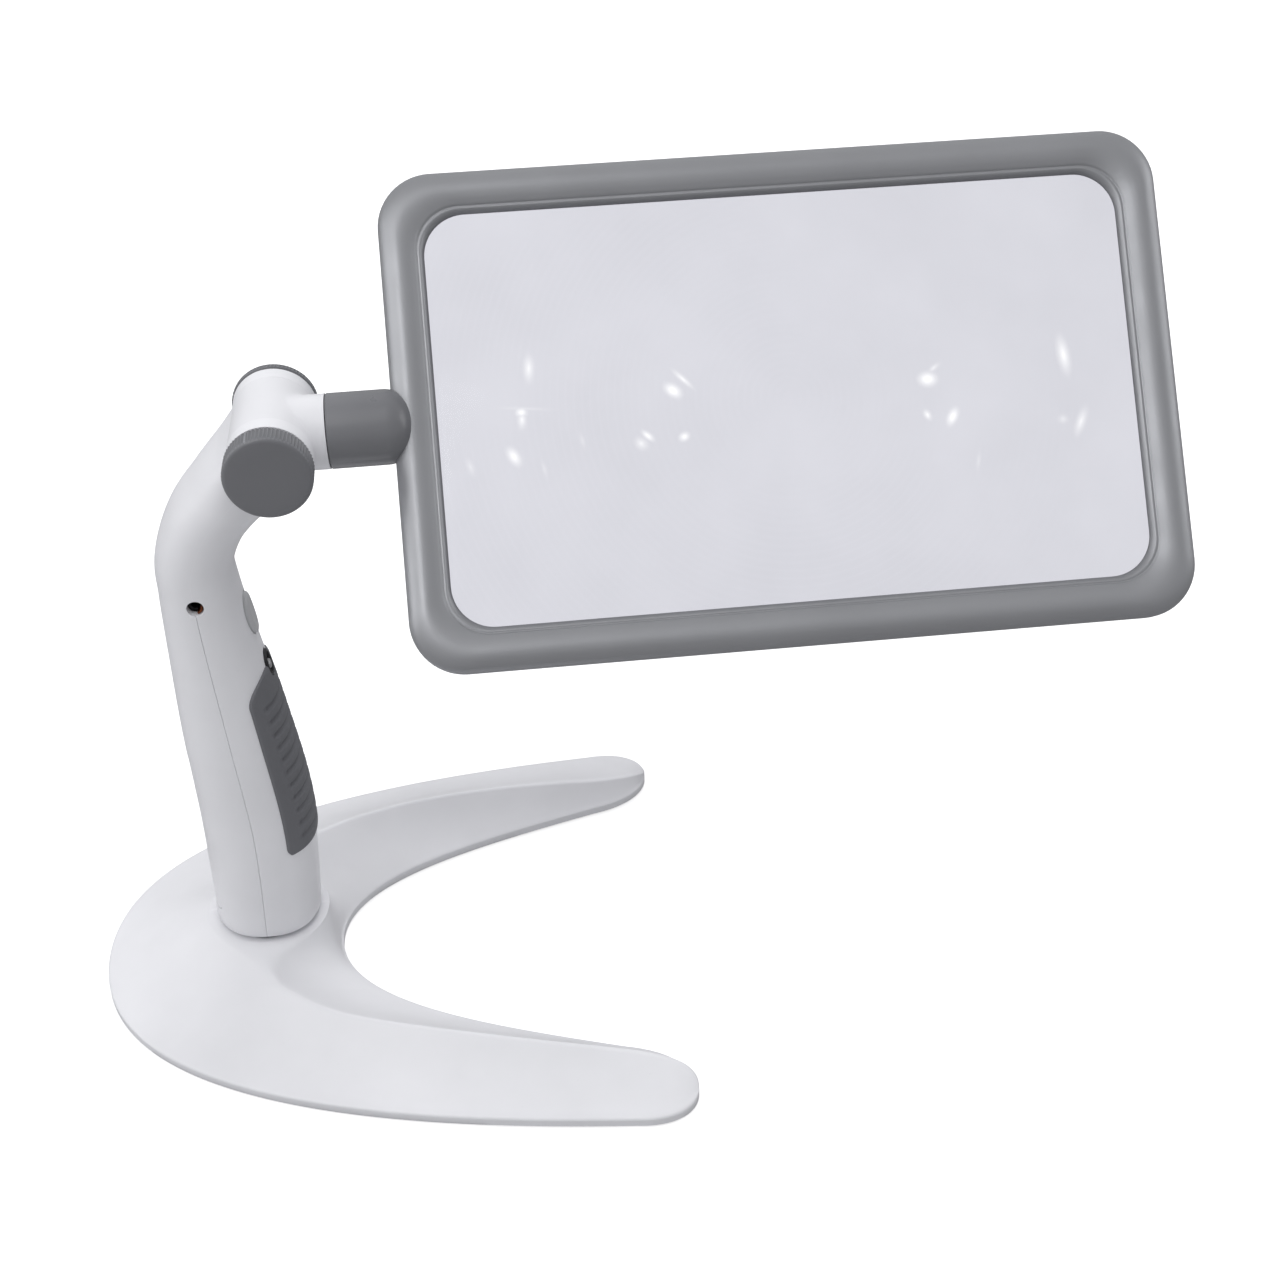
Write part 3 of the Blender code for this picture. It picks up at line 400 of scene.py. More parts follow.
def window_material():
    """A frosted strip with a row of lamps showing through it."""
    made, tree, shader = new_material("window_look")
    coords = tree.nodes.new("ShaderNodeTexCoord").outputs["Object"]
    cloud = noise(tree, coords, 420.0, 3.0)
    body = mix_colour(tree, cloud, (0.80, 0.80, 0.82), (0.93, 0.93, 0.95))
    tree.links.new(body, shader.inputs["Base Color"])
    tree.links.new(ramp(tree, cloud, 0.3, 0.7, 0.35, 0.55), shader.inputs["Roughness"])
    shader.inputs["Transmission Weight"].default_value = 0.3
    return made


def make_looks():
    white = (0.80, 0.80, 0.83)
    return {
        "white_plastic": moulded("white_look", white, 0.36, 0.05),
        # Grey and black plastics: edges strongly lightened, as wear and as a painted highlight on knurls and rims.
        "grey_plastic": moulded("grey_look", (0.17, 0.172, 0.185), 0.42, 0.12, edge_wear_highlight=1.8, coat=0.15),
        "silver_plastic": moulded("silver_look", (0.42, 0.425, 0.445), 0.44, 0.08, 0.65, 3200.0, 1.1),
        "sleeve_grey": moulded("sleeve_look", (0.175, 0.177, 0.19), 0.30, 0.08, edge_wear_highlight=1.3, coat=0.5),
        "button_grey": moulded("button_look", (0.50, 0.505, 0.52), 0.34, 0.06, edge_wear_highlight=1.15),
        # The rubber's rib grooves get strong painted shade.
        "grip_rubber": moulded(
            "rubber_look", (0.145, 0.147, 0.16), 0.66, 0.35, 0.0, 1700.0, 1.3, hollow_shade=0.45),
        "black_plastic": moulded("black_look", (0.018, 0.018, 0.02), 0.45, 0.2, edge_wear_highlight=1.8),
        "steel": brushed("steel_look", (0.60, 0.60, 0.61), 0.32),
        "bronze": brushed("bronze_look", (0.34, 0.12, 0.06), 0.4),
        "board_green": board_material(),
        "cell_wrap": moulded("wrap_look", (0.09, 0.15, 0.38), 0.35, 0.03),
        "clear_lens": lens_material(),
        "frosted_window": window_material(),
    }


LOOKS = make_looks()
SLOT_OF = {row["node"]: row["material_slot"] for row in frame["record"]["subparts"]}


# ---------------------------------------------------------------- mesh helpers

def finish_mesh(name, work, place, sharp=35.0):
    """Turns the faces outwards and makes the object, with its points in the row frame."""
    bmesh.ops.remove_doubles(work, verts=work.verts, dist=1e-5)
    bmesh.ops.dissolve_degenerate(work, edges=work.edges, dist=1e-5)
    bmesh.ops.recalc_face_normals(work, faces=work.faces)
    work.transform(place @ Matrix.Scale(MM, 4))
    mesh = bpy.data.meshes.new(name)
    work.to_mesh(mesh)
    work.free()
    mesh.shade_smooth()
    if sharp:
        mesh.set_sharp_from_angle(angle=math.radians(sharp))
    made = bpy.data.objects.new(name, mesh)
    bpy.context.scene.collection.objects.link(made)
    return made


def loft(name, rings, place=SHIFT, loop=False, sharp=35.0):
    """Quads between rings of equal length; the ends are capped unless the path is a loop."""
    work = bmesh.new()
    rows = [[work.verts.new(p) for p in ring] for ring in rings]
    pairs = list(zip(rows, rows[1:]))
    if loop:
        pairs.append((rows[-1], rows[0]))
    for low, high in pairs:
        for i in range(len(low)):
            j = (i + 1) % len(low)
            work.faces.new((low[i], low[j], high[j], high[i]))
    for ring, row in ((rings[0], rows[0]), (rings[-1], rows[-1])):
        if not loop and (Vector(ring[0]) - Vector(ring[len(ring) // 2])).length > 1e-3:
            work.faces.new(row)
    return finish_mesh(name, work, place, sharp)


AXES = {
    "Z": Matrix(),
    "Y": Matrix.Rotation(-math.pi / 2, 4, "X"),
    "X": Matrix.Rotation(math.pi / 2, 4, "Y"),
}


def turned(name, profile, place=SHIFT, axis="Z", segments=96, wobble=None, sharp=35.0):
    """A turned solid from (radius, height) points; wobble(radius, angle) may change the radius."""
    rings = []
    for radius, height in profile:
        ring = []
        for k in range(segments):
            angle = TAU * k / segments
            r = radius if wobble is None else wobble(radius, angle)
            ring.append(AXES[axis] @ Vector((r * math.cos(angle), r * math.sin(angle), height)))
        rings.append(ring)
    return loft(name, rings, place, sharp=sharp)


def rounded_profile(points, radii, steps=5):
    """A profile whose inner corners are rounded by the given radii."""
    result = [points[0]]
    for before, corner, after, radius in zip(points, points[1:], points[2:], radii):
        a = Vector(before) - Vector(corner)
        b = Vector(after) - Vector(corner)
        reach = min(radius, 0.49 * a.length, 0.49 * b.length)
        if reach < 1e-4:
            result.append(corner)
            continue
        start = Vector(corner) + a.normalized() * reach
        end = Vector(corner) + b.normalized() * reach
        for k in range(steps + 1):
            t = k / steps
            point = start * (1 - t) ** 2 + Vector(corner) * 2 * t * (1 - t) + end * t ** 2
            result.append(tuple(point))
    result.append(points[-1])
    return result


def apply_modifiers(target):
    graph = bpy.context.evaluated_depsgraph_get()
    mesh = bpy.data.meshes.new_from_object(target.evaluated_get(graph))
    target.modifiers.clear()
    old = target.data
    target.data = mesh
    bpy.data.meshes.remove(old)


def combine(target, tool, operation):
    """Applies a Boolean and throws the helper away."""
    step = target.modifiers.new("cut", "BOOLEAN")
    step.operation = operation
    step.solver = "EXACT"
    step.object = tool
    apply_modifiers(target)
    bpy.data.objects.remove(tool, do_unlink=True)


def smooth_again(target, sharp=35.0):
    target.data.shade_smooth()
    target.data.set_sharp_from_angle(angle=math.radians(sharp))


def dress(made, slot, body, *nodes, look=None):
    """Gives a piece its look and its body, and hides the nodes that it stands for."""
    made.data.materials.clear()
    made.data.materials.append(LOOKS[look or slot])
    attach(made, body)
    if nodes:
        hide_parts(*nodes)
    return made


# ---------------------------------------------------------------- stand

def bezier(points, t):
    s = 1 - t
    weights = (s ** 3, 3 * s * s * t, 3 * s * t * t, t ** 3)
    return Vector([sum(w * p[axis] for w, p in zip(weights, points)) for axis in (0, 1)])


def half_edge(t):
    """The outer and the inner edge at a share t of one arm, from the heel to the tip."""
    if t <= BODY_SHARE:
        return bezier(OUTER_CURVE, t / BODY_SHARE), bezier(INNER_CURVE, 1 - t / BODY_SHARE)
    u = (t - BODY_SHARE) / (1 - BODY_SHARE)
    return bezier(TIP_CURVE, 0.5 * u), bezier(TIP_CURVE, 1 - 0.5 * u)


def crease_share(t):
    """How far the crease lies from the outer edge to the inner edge; it nears the inner edge at the tip."""
    return 0.56 + 0.24 * max(0.0, (t - 0.45) / 0.55) ** 1.2


def crease_height(t):
    fall = min(t / 0.42, 1.0)
    level = COLLAR_Z + (CREASE_ARM_Z - COLLAR_Z) * (3 * fall ** 2 - 2 * fall ** 3)
    fade = max(0.0, (t - 0.55) / 0.45)
    level += (EDGE_Z + 1.2 - level) * fade ** 1.7
    end = max(0.0, (t - 0.93) / 0.07)
    return EDGE_Z + (level - EDGE_Z) * math.sqrt(max(1 - end ** 2, 0.04))


def crease_pair(t, outer, inner):
    """The two ends of the crease's narrow flat; near the handle they part to follow the collar."""
    chord = (inner - outer).normalized()
    shared = outer.lerp(inner, crease_share(t))
    spread = min(0.8, 0.1 * (inner - outer).length)
    back = shared - chord * spread
    front = shared + chord * spread
    if t >= COLLAR_SHARE:
        return back, front
    blend = (t / COLLAR_SHARE) ** 4
    angle = math.pi - (math.pi / 2) * (t / COLLAR_SHARE)
    ring = Vector((COLLAR_RADIUS * math.cos(angle), COLLAR_RADIUS * math.sin(angle)))
    collar_back = Vector((SOCKET_X + ring.x, ring.y))
    collar_front = Vector((min(SOCKET_X - ring.x, inner.x - 0.8), ring.y))
    return collar_back.lerp(back, blend), collar_front.lerp(front, blend)


def chaikin(points, rounds):
    """Rounds an open run of points by cutting corners; the ends stay."""
    for _ in range(rounds):
        cut = [points[0]]
        for a, b in zip(points, points[1:]):
            cut.append(a.lerp(b, 0.25))
            cut.append(a.lerp(b, 0.75))
        cut.append(points[-1])
        points = cut
    return points


def stand_section(side, t):
    """One closed cross-section: rim, outer slope, crease, inner slope, rim, and the recess below."""
    outer, inner = half_edge(t)
    chord = inner - outer
    width = chord.length
    back, front = crease_pair(t, outer, inner)
    top = crease_height(t)
    nose = min(0.7, 0.12 * width) / width
    rise = top - EDGE_Z

    def at(p, z):
        return Vector((p.x, side * p.y, z))

    run = [at(outer, EDGE_Z - 1.0), at(outer, EDGE_Z - 0.35)]
    run.append(at(outer + chord * nose, EDGE_Z + 0.12 * min(rise, 2)))
    for u in (0.2, 0.4, 0.6, 0.8, 0.94):
        bow = 0.10 * rise * math.sin(math.pi * u)
        run.append(at((outer + chord * nose).lerp(back, u), EDGE_Z + rise * u - bow))
    run += [at(back, top), at(front, top)]
    for u in (0.12, 0.5, 0.85):
        bow = 0.07 * rise * math.sin(math.pi * u)
        run.append(at(front.lerp(inner - chord * nose, u), EDGE_Z + rise * (1 - u) - bow))
    run += [at(inner - chord * nose, EDGE_Z + 0.1), at(inner, EDGE_Z - 0.35), at(inner, EDGE_Z - 1.0)]
    run = chaikin(run, 2)
    inset = min(3.9, 0.40 * width) / width
    low = [
        at(inner, RIM_Z + 0.3), at(inner - chord * min(0.3 / width, 0.1), RIM_Z),
        at(inner - chord * inset, RIM_Z), at(inner - chord * inset, 3.2),
        at(outer + chord * inset, 3.2), at(outer + chord * inset, RIM_Z),
        at(outer + chord * min(0.3 / width, 0.1), RIM_Z), at(outer, RIM_Z + 0.3),
    ]
    return run + low


def stand_ts():
    even = [TIP_START * k / 96 for k in range(97)]
    crowded = [TIP_START + TIP_REACH * math.sin(math.pi / 2 * k / 36) for k in range(1, 37)]
    return even + crowded


def make_stand():
    ts = stand_ts()
    rings = [stand_section(-1, t) for t in reversed(ts[1:])] + [stand_section(1, t) for t in ts]
    shell = loft("stand_shell", rings, sharp=0)
    bore_place = SHIFT @ Matrix.Translation((SOCKET_X * MM, 0, 0))
    wide = SOCKET_BORE + 1.0
    bore = ((SOCKET_BORE, 5.1), (SOCKET_BORE, COLLAR_Z - 0.5), (wide, COLLAR_Z + 0.5), (wide, 30))
    combine(shell, turned("socket_tool", bore, bore_place), "DIFFERENCE")
    smooth_again(shell, 40)
    dress(shell, "white_plastic", "base", "base_shell")


def make_feet():
    for number in range(1, 5):
        node = f"rubber_foot_{number}"
        low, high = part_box(node)
        radius = (high.x - low.x) / 2 / MM
        height = (high.z - low.z) / MM
        points = ((0.5, 0.25), (radius - 1.2, 0.25), (radius - 0.9, 0.0), (radius - 0.2, 0.0), (radius, 0.3),
                  (radius, height), (0.5, height))
        place = Matrix.Translation(((low.x + high.x) / 2, (low.y + high.y) / 2, low.z))
        foot = turned(f"foot_pad_{number}", points, place, segments=48)
        dress(foot, "grip_rubber", "base", node)


# ---------------------------------------------------------------- handle

def spline(rows, t):
    spans = len(rows) - 1
    index = min(int(t * spans), spans - 1)
    u = t * spans - index
    first = rows[max(index - 1, 0)]
    last = rows[min(index + 2, spans)]
    values = []
    for a, b, c, d in zip(first, rows[index], rows[index + 1], last):
        square = 2 * a - 5 * b + 4 * c - d
        cube = 3 * b - a - 3 * c + d
        values.append(0.5 * (2 * b + (c - a) * u + square * u * u + cube * u ** 3))
    return values


def handle_frame(t):
    """Centre, forward direction, half depth and half width at a share t of the handle."""
    x, z, depth, width = spline(HANDLE_STATIONS, t)
    low = spline(HANDLE_STATIONS, max(t - 0.01, 0))
    high = spline(HANDLE_STATIONS, min(t + 0.01, 1))
    along = Vector((high[0] - low[0], 0, high[1] - low[1])).normalized()
    return Vector((x, 0, z)), Vector((along.z, 0, -along.x)), depth, width


def handle_point(t, angle, offset=0.0):
    """A point on the handle's skin or offset from it; the section gets squarer towards the barrel."""
    centre, forward, depth, width = handle_frame(t)
    c, s = math.cos(angle), math.sin(angle)
    power = 2 / (SQUARENESS + NECK_SQUARENESS * max(0.0, (t - NECK_START) / (1 - NECK_START)) ** 1.5)
    u = (depth + offset) * math.copysign(abs(c) ** power, c)
    v = (width + offset) * math.copysign(abs(s) ** power, s)
    return centre + forward * u + Vector((0, v, 0))


def station_of(z):
    """The share of the handle at height z."""
    low, high = 0.0, 1.0
    for _ in range(30):
        middle = (low + high) / 2
        if spline(HANDLE_STATIONS, middle)[1] < z:
            low = middle
        else:
            high = middle
    return low


JACK_T = station_of(JACK_Z)


def shell_rings(facing, stations=130, steps=44):
    """C-shaped sections of one half shell; the seam closes up above the side socket."""
    rings = []
    for k in range(stations + 1):
        t = SHELL_END * k / stations
        part = 0.04 * facing * min(1.0, max(0.0, (JACK_T - t) / 0.01))
        foot = -0.7 * max(0.0, 1 - t / 0.004) ** 2
        ring = []
        for offset, order in ((foot, 1), (-WALL, -1)):
            arc = []
            for m in range(steps + 1):
                angle = -math.pi / 2 * math.cos(math.pi * m / steps) + (math.pi if facing < 0 else 0)
                edge = 0.10 if m in (0, steps) and offset > -1 and t < JACK_T else 0.0
                point = handle_point(t, angle, offset - edge)
                arc.append(point + Vector((part, 0, 0)))
            ring += arc[::order]
        rings.append(ring)
    return rings


def barrel_rod(name, radius, low, high, segments=96):
    return turned(name, ((radius, low), (radius, high)), BARREL_PLACE, "Y", segments)


def side_hole(name, radius):
    place = SHIFT @ Matrix.Translation((JACK_X * MM, 0, JACK_Z * MM))
    return turned(name, ((radius, -22), (radius, -8)), place, "Y", 40)


def oval_rings(z, half_size, offsets, steps=56):
    """Ovals on the handle's front face; offsets are (outward, shrink) pairs."""
    out = handle_frame(station_of(z))[1]
    rings = []
    for outward, shrink in offsets:
        ring = []
        for k in range(steps):
            angle = TAU * k / steps
            level = station_of(z + (half_size[0] - shrink) * math.cos(angle))
            across = math.asin((half_size[1] - shrink) * math.sin(angle) / handle_frame(level)[3])
            ring.append(handle_point(level, across) + out * outward)
        rings.append(ring)
    return rings


def grip_half_angle(z):
    """Half the angle that the grip covers at height z: drawn in at the foot, arched at the top."""
    low, shoulder = GRIP_Z[0], GRIP_SHOULDER_Z
    if z <= shoulder:
        share = (z - low) / (shoulder - low)
        corner = max(0.0, 1 - (z - low) / 3.0)
        base = GRIP_ANGLES[0] + (GRIP_ANGLES[1] - GRIP_ANGLES[0]) * share
        return math.radians(base - 5.0 * corner ** 2)
    share = min((z - shoulder) / (GRIP_Z[1] - shoulder), 1.0)
    return math.radians(GRIP_ANGLES[1] * math.sqrt(max(1 - 0.93 * share ** 2, 0.0)))


def rib_depth(z, angle):
    """How deep the grip's cross grooves are at a point."""
    reach = math.radians(RIB_REACH_DEG)
    fade = min(1.0, max(0.0, (reach - abs(angle)) / math.radians(RIB_FADE_DEG)))
    step = round((z - RIB_FIRST) / RIB_PITCH)
    if not 0 <= step < RIB_COUNT:
        return 0.0
    away = abs(z - RIB_FIRST - step * RIB_PITCH)
    return RIB_DEPTH * fade * max(0.0, 1 - (away / RIB_HALF_WIDTH) ** 2)


def make_grip():
    levels = [GRIP_Z[0] + (GRIP_Z[1] - GRIP_Z[0]) * k / 210 for k in range(211)]
    steps = 72
    rings = []
    for z in levels:
        t = station_of(z)
        half = grip_half_angle(z)
        end = min(z - GRIP_Z[0], GRIP_Z[1] - z)
        crown = math.sqrt(max(0.0, 1 - max(0.0, 1 - end / 1.4) ** 2))
        ring = []
        for k in range(steps + 1):
            share = 2 * k / steps - 1
            share = math.copysign(abs(share) ** 0.85, share)
            angle = half * share
            side = math.sqrt(max(0.0, 1 - max(0.0, (abs(share) - 0.93) / 0.07) ** 2))
            lift = -0.25 + 1.05 * min(side, crown) - rib_depth(z, angle)
            ring.append(handle_point(t, angle, lift))
        ring += [handle_point(t, half, -1.0), handle_point(t, -half, -1.0)]
        rings.append(ring)
    pad = loft("grip_cover", rings, sharp=50)
    combine(pad, loft("grip_notch", oval_rings(SWITCH_Z, SWITCH_OPENING, ((-4, 0), (4, 0)))), "DIFFERENCE")
    smooth_again(pad, 50)
    dress(pad, "grip_rubber", "handle", "grip_pad")


def door_block(name, margin):
    """A block with the door's rounded outline, reaching from behind into the handle."""
    low_z, high_z = DOOR_Z[0] + margin, DOOR_Z[1] - margin
    half = DOOR_HALF_WIDTH - margin
    radius = DOOR_CORNER - margin
    ring = []
    for y, z, start in ((half, high_z, 0), (-half, high_z, 1), (-half, low_z, 2), (half, low_z, 3)):
        cy = y - math.copysign(radius, y)
        cz = z - radius if z == high_z else z + radius
        for k in range(7):
            angle = math.pi / 2 * (start + k / 6)
            ring.append((cy + radius * math.cos(angle), cz + radius * math.sin(angle)))
    return loft(name, [[Vector((x, y, z)) for y, z in ring] for x in (-60, -19)])


def make_shells():
    front = loft("handle_front", shell_rings(1), sharp=0)
    combine(front, barrel_rod("saddle", BARREL_RADIUS - BARREL_BITE, -30, 30), "DIFFERENCE")
    half = (BUTTON_SIZE[0] / 2 + 0.3, BUTTON_SIZE[1] / 2 + 0.3)
    combine(front, loft("button_tool", oval_rings(BUTTON_Z, half, ((-6, 0), (4, 0)))), "DIFFERENCE")
    combine(front, loft("switch_tool", oval_rings(SWITCH_Z, SWITCH_OPENING, ((-6, 0), (4, 0)))), "DIFFERENCE")
    combine(front, side_hole("front_side_hole", JACK_RADIUS), "DIFFERENCE")
    for degrees in STUB_SWEEP_DEG:
        place = BARREL_PLACE @ Matrix.Rotation(math.radians(-degrees), 4, "Y")
        reach = ((STUB_RADIUS + STUB_ROOM, 0), (STUB_RADIUS + STUB_ROOM, STUB_END + 0.5))
        combine(front, turned("stub_room", reach, place, "X", 96), "DIFFERENCE")
    smooth_again(front, 40)
    dress(front, "white_plastic", "handle", "handle_front_shell")

    rear = loft("handle_rear", shell_rings(-1), sharp=0)
    combine(rear, door_block("door_tool", 0.0), "DIFFERENCE")
    combine(rear, side_hole("rear_side_hole", JACK_RADIUS), "DIFFERENCE")
    for name, low, high in (("front_ear", -EAR_Y[1], -EAR_Y[0] + 1), ("rear_ear", EAR_Y[0] - 1, EAR_Y[1])):
        combine(rear, barrel_rod(name, BARREL_RADIUS, low, high), "UNION")
    combine(rear, barrel_rod("hub_tool", BARREL_RADIUS - BARREL_BITE, -EAR_Y[0], EAR_Y[0], 100), "DIFFERENCE")
    combine(rear, barrel_rod("bolt_tool", BOLT_BORE, -30, 30, 40), "DIFFERENCE")
    smooth_again(rear, 40)
    dress(rear, "white_plastic", "handle", "handle_rear_shell")


def make_door():
    rings = []
    t_low, t_high = station_of(DOOR_Z[0] - 3), station_of(DOOR_Z[1] + 3)
    for k in range(61):
        t = t_low + (t_high - t_low) * k / 60
        ring = []
        for offset, order in ((-0.05, 1), (-WALL, -1)):
            arc = []
            for m in range(37):
                angle = math.pi + math.radians(-55 + 110 * m / 36)
                point = handle_point(t, angle, offset)
                latch = point.z - (DOOR_Z[1] - 7)
                if offset > -1 and abs(point.y) < 5 and abs(latch) < 3:
                    point += Vector((0.35 * (1 - (latch / 3) ** 2) * (1 - (point.y / 5) ** 2) * 2, 0, 0))
                arc.append(point)
            ring += arc[::order]
        rings.append(ring)
    door = loft("back_door", rings, sharp=0)
    combine(door, door_block("door_outline", 0.25), "INTERSECT")
    smooth_again(door, 40)
    dress(door, "white_plastic", "battery_door", "battery_door")


def make_controls():
    half = (BUTTON_SIZE[0] / 2, BUTTON_SIZE[1] / 2)
    dome = [(-2.4, 0.0), (0.35, 0.0)]
    for k in range(1, 9):
        angle = math.pi / 2 * k / 8
        dome.append((0.35 + 0.85 * math.sin(angle), 1.6 * (1 - math.cos(angle))))
    dome += [(1.1, 2.3), (1.0, 3.0)]
    button = loft("button_cap", oval_rings(BUTTON_Z, half, dome))
    dress(button, "grey_plastic", "power_button", "power_button", look="button_grey")

    section = ((-1.0, 0), (0.4, 0), (0.7, 0.25), (0.8, 0.6), (0.7, 0.85), (0.2, 1.0), (-1.0, 1.0))
    rings = [list(points) for points in zip(*oval_rings(SWITCH_Z, SWITCH_RIM, section))]
    rim = loft("switch_rim", rings, loop=True)
    dress(rim, "black_plastic", "handle", "switch_surround")

    steps = ((-2.6, 0), (0.2, 0), (0.5, 0.1), (0.75, 0.3), (0.85, 0.6))
    slider = loft("slider_tip", oval_rings(SWITCH_Z - 0.6, SLIDER_SIZE, steps))
    dress(slider, "steel", "brightness_slider", "brightness_slider")

    place = SHIFT @ Matrix.Translation((JACK_X * MM, 0, JACK_Z * MM))
    lining = ((3.6, -3.0), (3.6, -10.8), (1.7, -10.8), (1.7, -4.6), (0.7, -4.6), (0.7, -9.6), (0.4, -10.0))
    jack = turned("side_socket", lining, place, "Y", 40)
    dress(jack, "black_plastic", "handle", "dc_jack")
    strip = ((2.0, -13.5), (1.5, -13.5), (1.5, -10.9), (2.0, -10.9))
    arc = [math.radians(a) for a in range(-75, 16, 6)]
    rings = [[Vector((r * math.cos(a), y, r * math.sin(a))) for r, y in strip] for a in arc]
    dress(loft("socket_contact", rings, place), "steel", "handle", look="bronze")


# ---------------------------------------------------------------- knuckle

def knurl(radius, angle):
    """Fine flutes round the knob's rim only."""
    if radius < KNOB_RADIUS - 0.05:
        return radius
    return radius - 0.30 * (0.5 - 0.5 * math.cos(72 * angle)) ** 0.7


def make_knob():
    low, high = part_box("tension_knob")
    front = (low.y - BARREL.y) / MM
    back = (high.y - BARREL.y) / MM
    r = KNOB_RADIUS
    profile = [(0.0, back), (r - 0.9, back), (r - 0.5, back - 0.2), (r, back - 0.6), (r, front + 1.0)]
    lip = ((0.06, 0.95), (0.2, 0.6), (0.5, 0.3), (0.9, 0.12), (1.4, 0.04))
    profile += [(r - inward, front + rise) for inward, rise in lip]
    profile += [(r * 0.6, front), (r * 0.3, front), (0.0, front)]
    knob = turned("clamp_knob", profile, BARREL_PLACE, "Y", 512, knurl, sharp=50)
    dress(knob, "grey_plastic", "tension_knob", "tension_knob")


def make_cap():
    low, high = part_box("end_cap")
    start = (low.y - BARREL.y) / MM
    end = (high.y - BARREL.y) / MM
    r = KNOB_RADIUS
    points = ((0.0, start), (r - 0.6, start), (r, start + 0.3), (r, end), (0.0, end))
    profile = rounded_profile(points, (0, 0.2, 0.7))
    cap = turned("rear_cap", profile, BARREL_PLACE, "Y", 512, knurl)
    dress(cap, "grey_plastic", "handle", "end_cap")


def relax(target, voxel, light, strong, weight_of):
    """Remeshes a solid and smooths it: a few rounds everywhere, more where weight_of(point) says."""
    remesh = target.modifiers.new("even", "REMESH")
    remesh.mode = "VOXEL"
    remesh.voxel_size = voxel * MM
    apply_modifiers(target)
    group = target.vertex_groups.new(name="soft")
    for vertex in target.data.vertices:
        group.add([vertex.index], weight_of(vertex.co), "REPLACE")
    for rounds, name in ((light, ""), (strong, "soft")):
        smooth = target.modifiers.new("relax", "SMOOTH")
        smooth.factor = 0.5
        smooth.iterations = rounds
        smooth.vertex_group = name
    apply_modifiers(target)
    target.vertex_groups.clear()


def make_hub():
    """Hub and stub as one moulding, with a soft fillet where they meet."""
    spare = 1.5
    end = HUB_REACH + spare
    barrel = ((0.0, -end), (BARREL_RADIUS, -end), (BARREL_RADIUS, end), (0.0, end))
    hub = turned("hub_body", barrel, ARM, "Y", 128)
    tip = STUB_END + spare
    arm = ((0.0, 0.0), (STUB_RADIUS, 0.0), (STUB_RADIUS, tip), (0.0, tip))
    combine(hub, turned("hub_stub", arm, ARM, "X", 128), "UNION")
    to_arm = ARM.inverted()

    def near_joint(point):
        local = to_arm @ point / MM
        wall = math.sqrt(max(BARREL_RADIUS ** 2 - local.z ** 2, 0.0))
        return max(0.0, 1 - max(0.0, abs(local.x - wall) - 2.0) / 2.0) * (1.0 if local.x > 0 else 0.0)

    relax(hub, 0.5, 5, 30, near_joint)
    corners = ((-20, -20), (STUB_END, -20), (STUB_END, 20), (-20, 20))
    block = loft("hub_block", [[Vector((x, y, z)) for x, z in corners] for y in (-HUB_REACH, HUB_REACH)], ARM)
    combine(hub, block, "INTERSECT")
    combine(hub, turned("bush_tool", ((BUSH_BORE, 5.6), (BUSH_BORE, 40)), ARM, "X", 64), "DIFFERENCE")
    smooth_again(hub, 30)
    dress(hub, "white_plastic", "arm", "arm_hub")


def make_sleeve():
    start = STUB_END + 0.2
    r = STUB_RADIUS
    dome = SLEEVE_END - SLEEVE_DOME
    profile = [(4.2, start), (r - 0.3, start), (r, start + 0.3), (r, dome)]
    for k in range(1, 17):
        angle = math.pi / 2 * k / 16
        across = r * math.cos(angle) ** 0.72 if k < 16 else 0.6
        profile.append((across, dome + 7.9 * math.sin(angle)))
    sleeve = turned("swivel_cover", profile, SWIVEL, "X", 128)
    dress(sleeve, "grey_plastic", "lens_frame", "swivel_sleeve", look="sleeve_grey")


# ---------------------------------------------------------------- lens frame

def rounded_loop(inset, z, corner_steps=14):
    """A level loop round the frame, inset from its outline; its corners tighten towards the opening."""
    half_x = HALF_LENGTH - inset
    half_y = HALF_HEIGHT - inset
    corner = OUTER_CORNER + (OPENING_CORNER - OUTER_CORNER) * inset / RAIL
    loop = []
    for quarter in range(4):
        sx = (1, -1, -1, 1)[quarter]
        sy = (1, 1, -1, -1)[quarter]
        cx, cy = sx * (half_x - corner), sy * (half_y - corner)
        for k in range(corner_steps + 1):
            angle = math.pi / 2 * (quarter + k / corner_steps)
            loop.append(Vector((cx + corner * math.cos(angle), cy + corner * math.sin(angle), z)))
    return loop


def closed_chaikin(points, rounds):
    """Rounds a closed run of points by cutting corners."""
    for _ in range(rounds):
        cut = []
        for a, b in zip(points, points[1:] + points[:1]):
            cut.append((a[0] * 0.75 + b[0] * 0.25, a[1] * 0.75 + b[1] * 0.25))
            cut.append((a[0] * 0.25 + b[0] * 0.75, a[1] * 0.25 + b[1] * 0.75))
        points = cut
    return points


# Sections of the two rings as (inset from the outline, height over the lens's middle)
BEZEL_TOP = (
    (0.0, 0.1), (0.0, 0.1), (0.0, 1.1), (0.3, 2.2), (1.2, 3.5), (2.6, 4.6), (4.4, 5.35), (6.2, 5.4),
    (8.0, 4.9), (9.5, 4.1), (9.95, 3.8), (10.15, 3.5), (10.4, 3.4), (10.6, 3.5), (11.0, 3.5), (11.5, 3.0),
    (11.9, 2.3), (12.1, 1.7), (12.1, 1.35), (12.1, 1.3), (10.2, 1.3), (10.2, 1.3), (10.2, 0.1), (10.2, 0.1),
)
BACK_LOW = (
    (0.0, -0.1), (0.0, -0.1), (10.2, -0.1), (10.2, -0.1), (10.2, -1.3), (10.2, -1.3), (10.8, -1.3),
    (10.8, -1.35), (10.6, -1.9), (10.1, -3.0), (9.7, -4.2), (9.0, -4.9), (6.0, -4.9), (3.6, -4.9),
    (1.6, -4.5), (0.35, -3.3), (0.0, -1.8), (0.0, -1.0),
)


def frame_piece(name, section):
    loops = [rounded_loop(inset, z) for inset, z in closed_chaikin(list(section), 2)]
    return loft(name, loops, PLANE, loop=True, sharp=0)


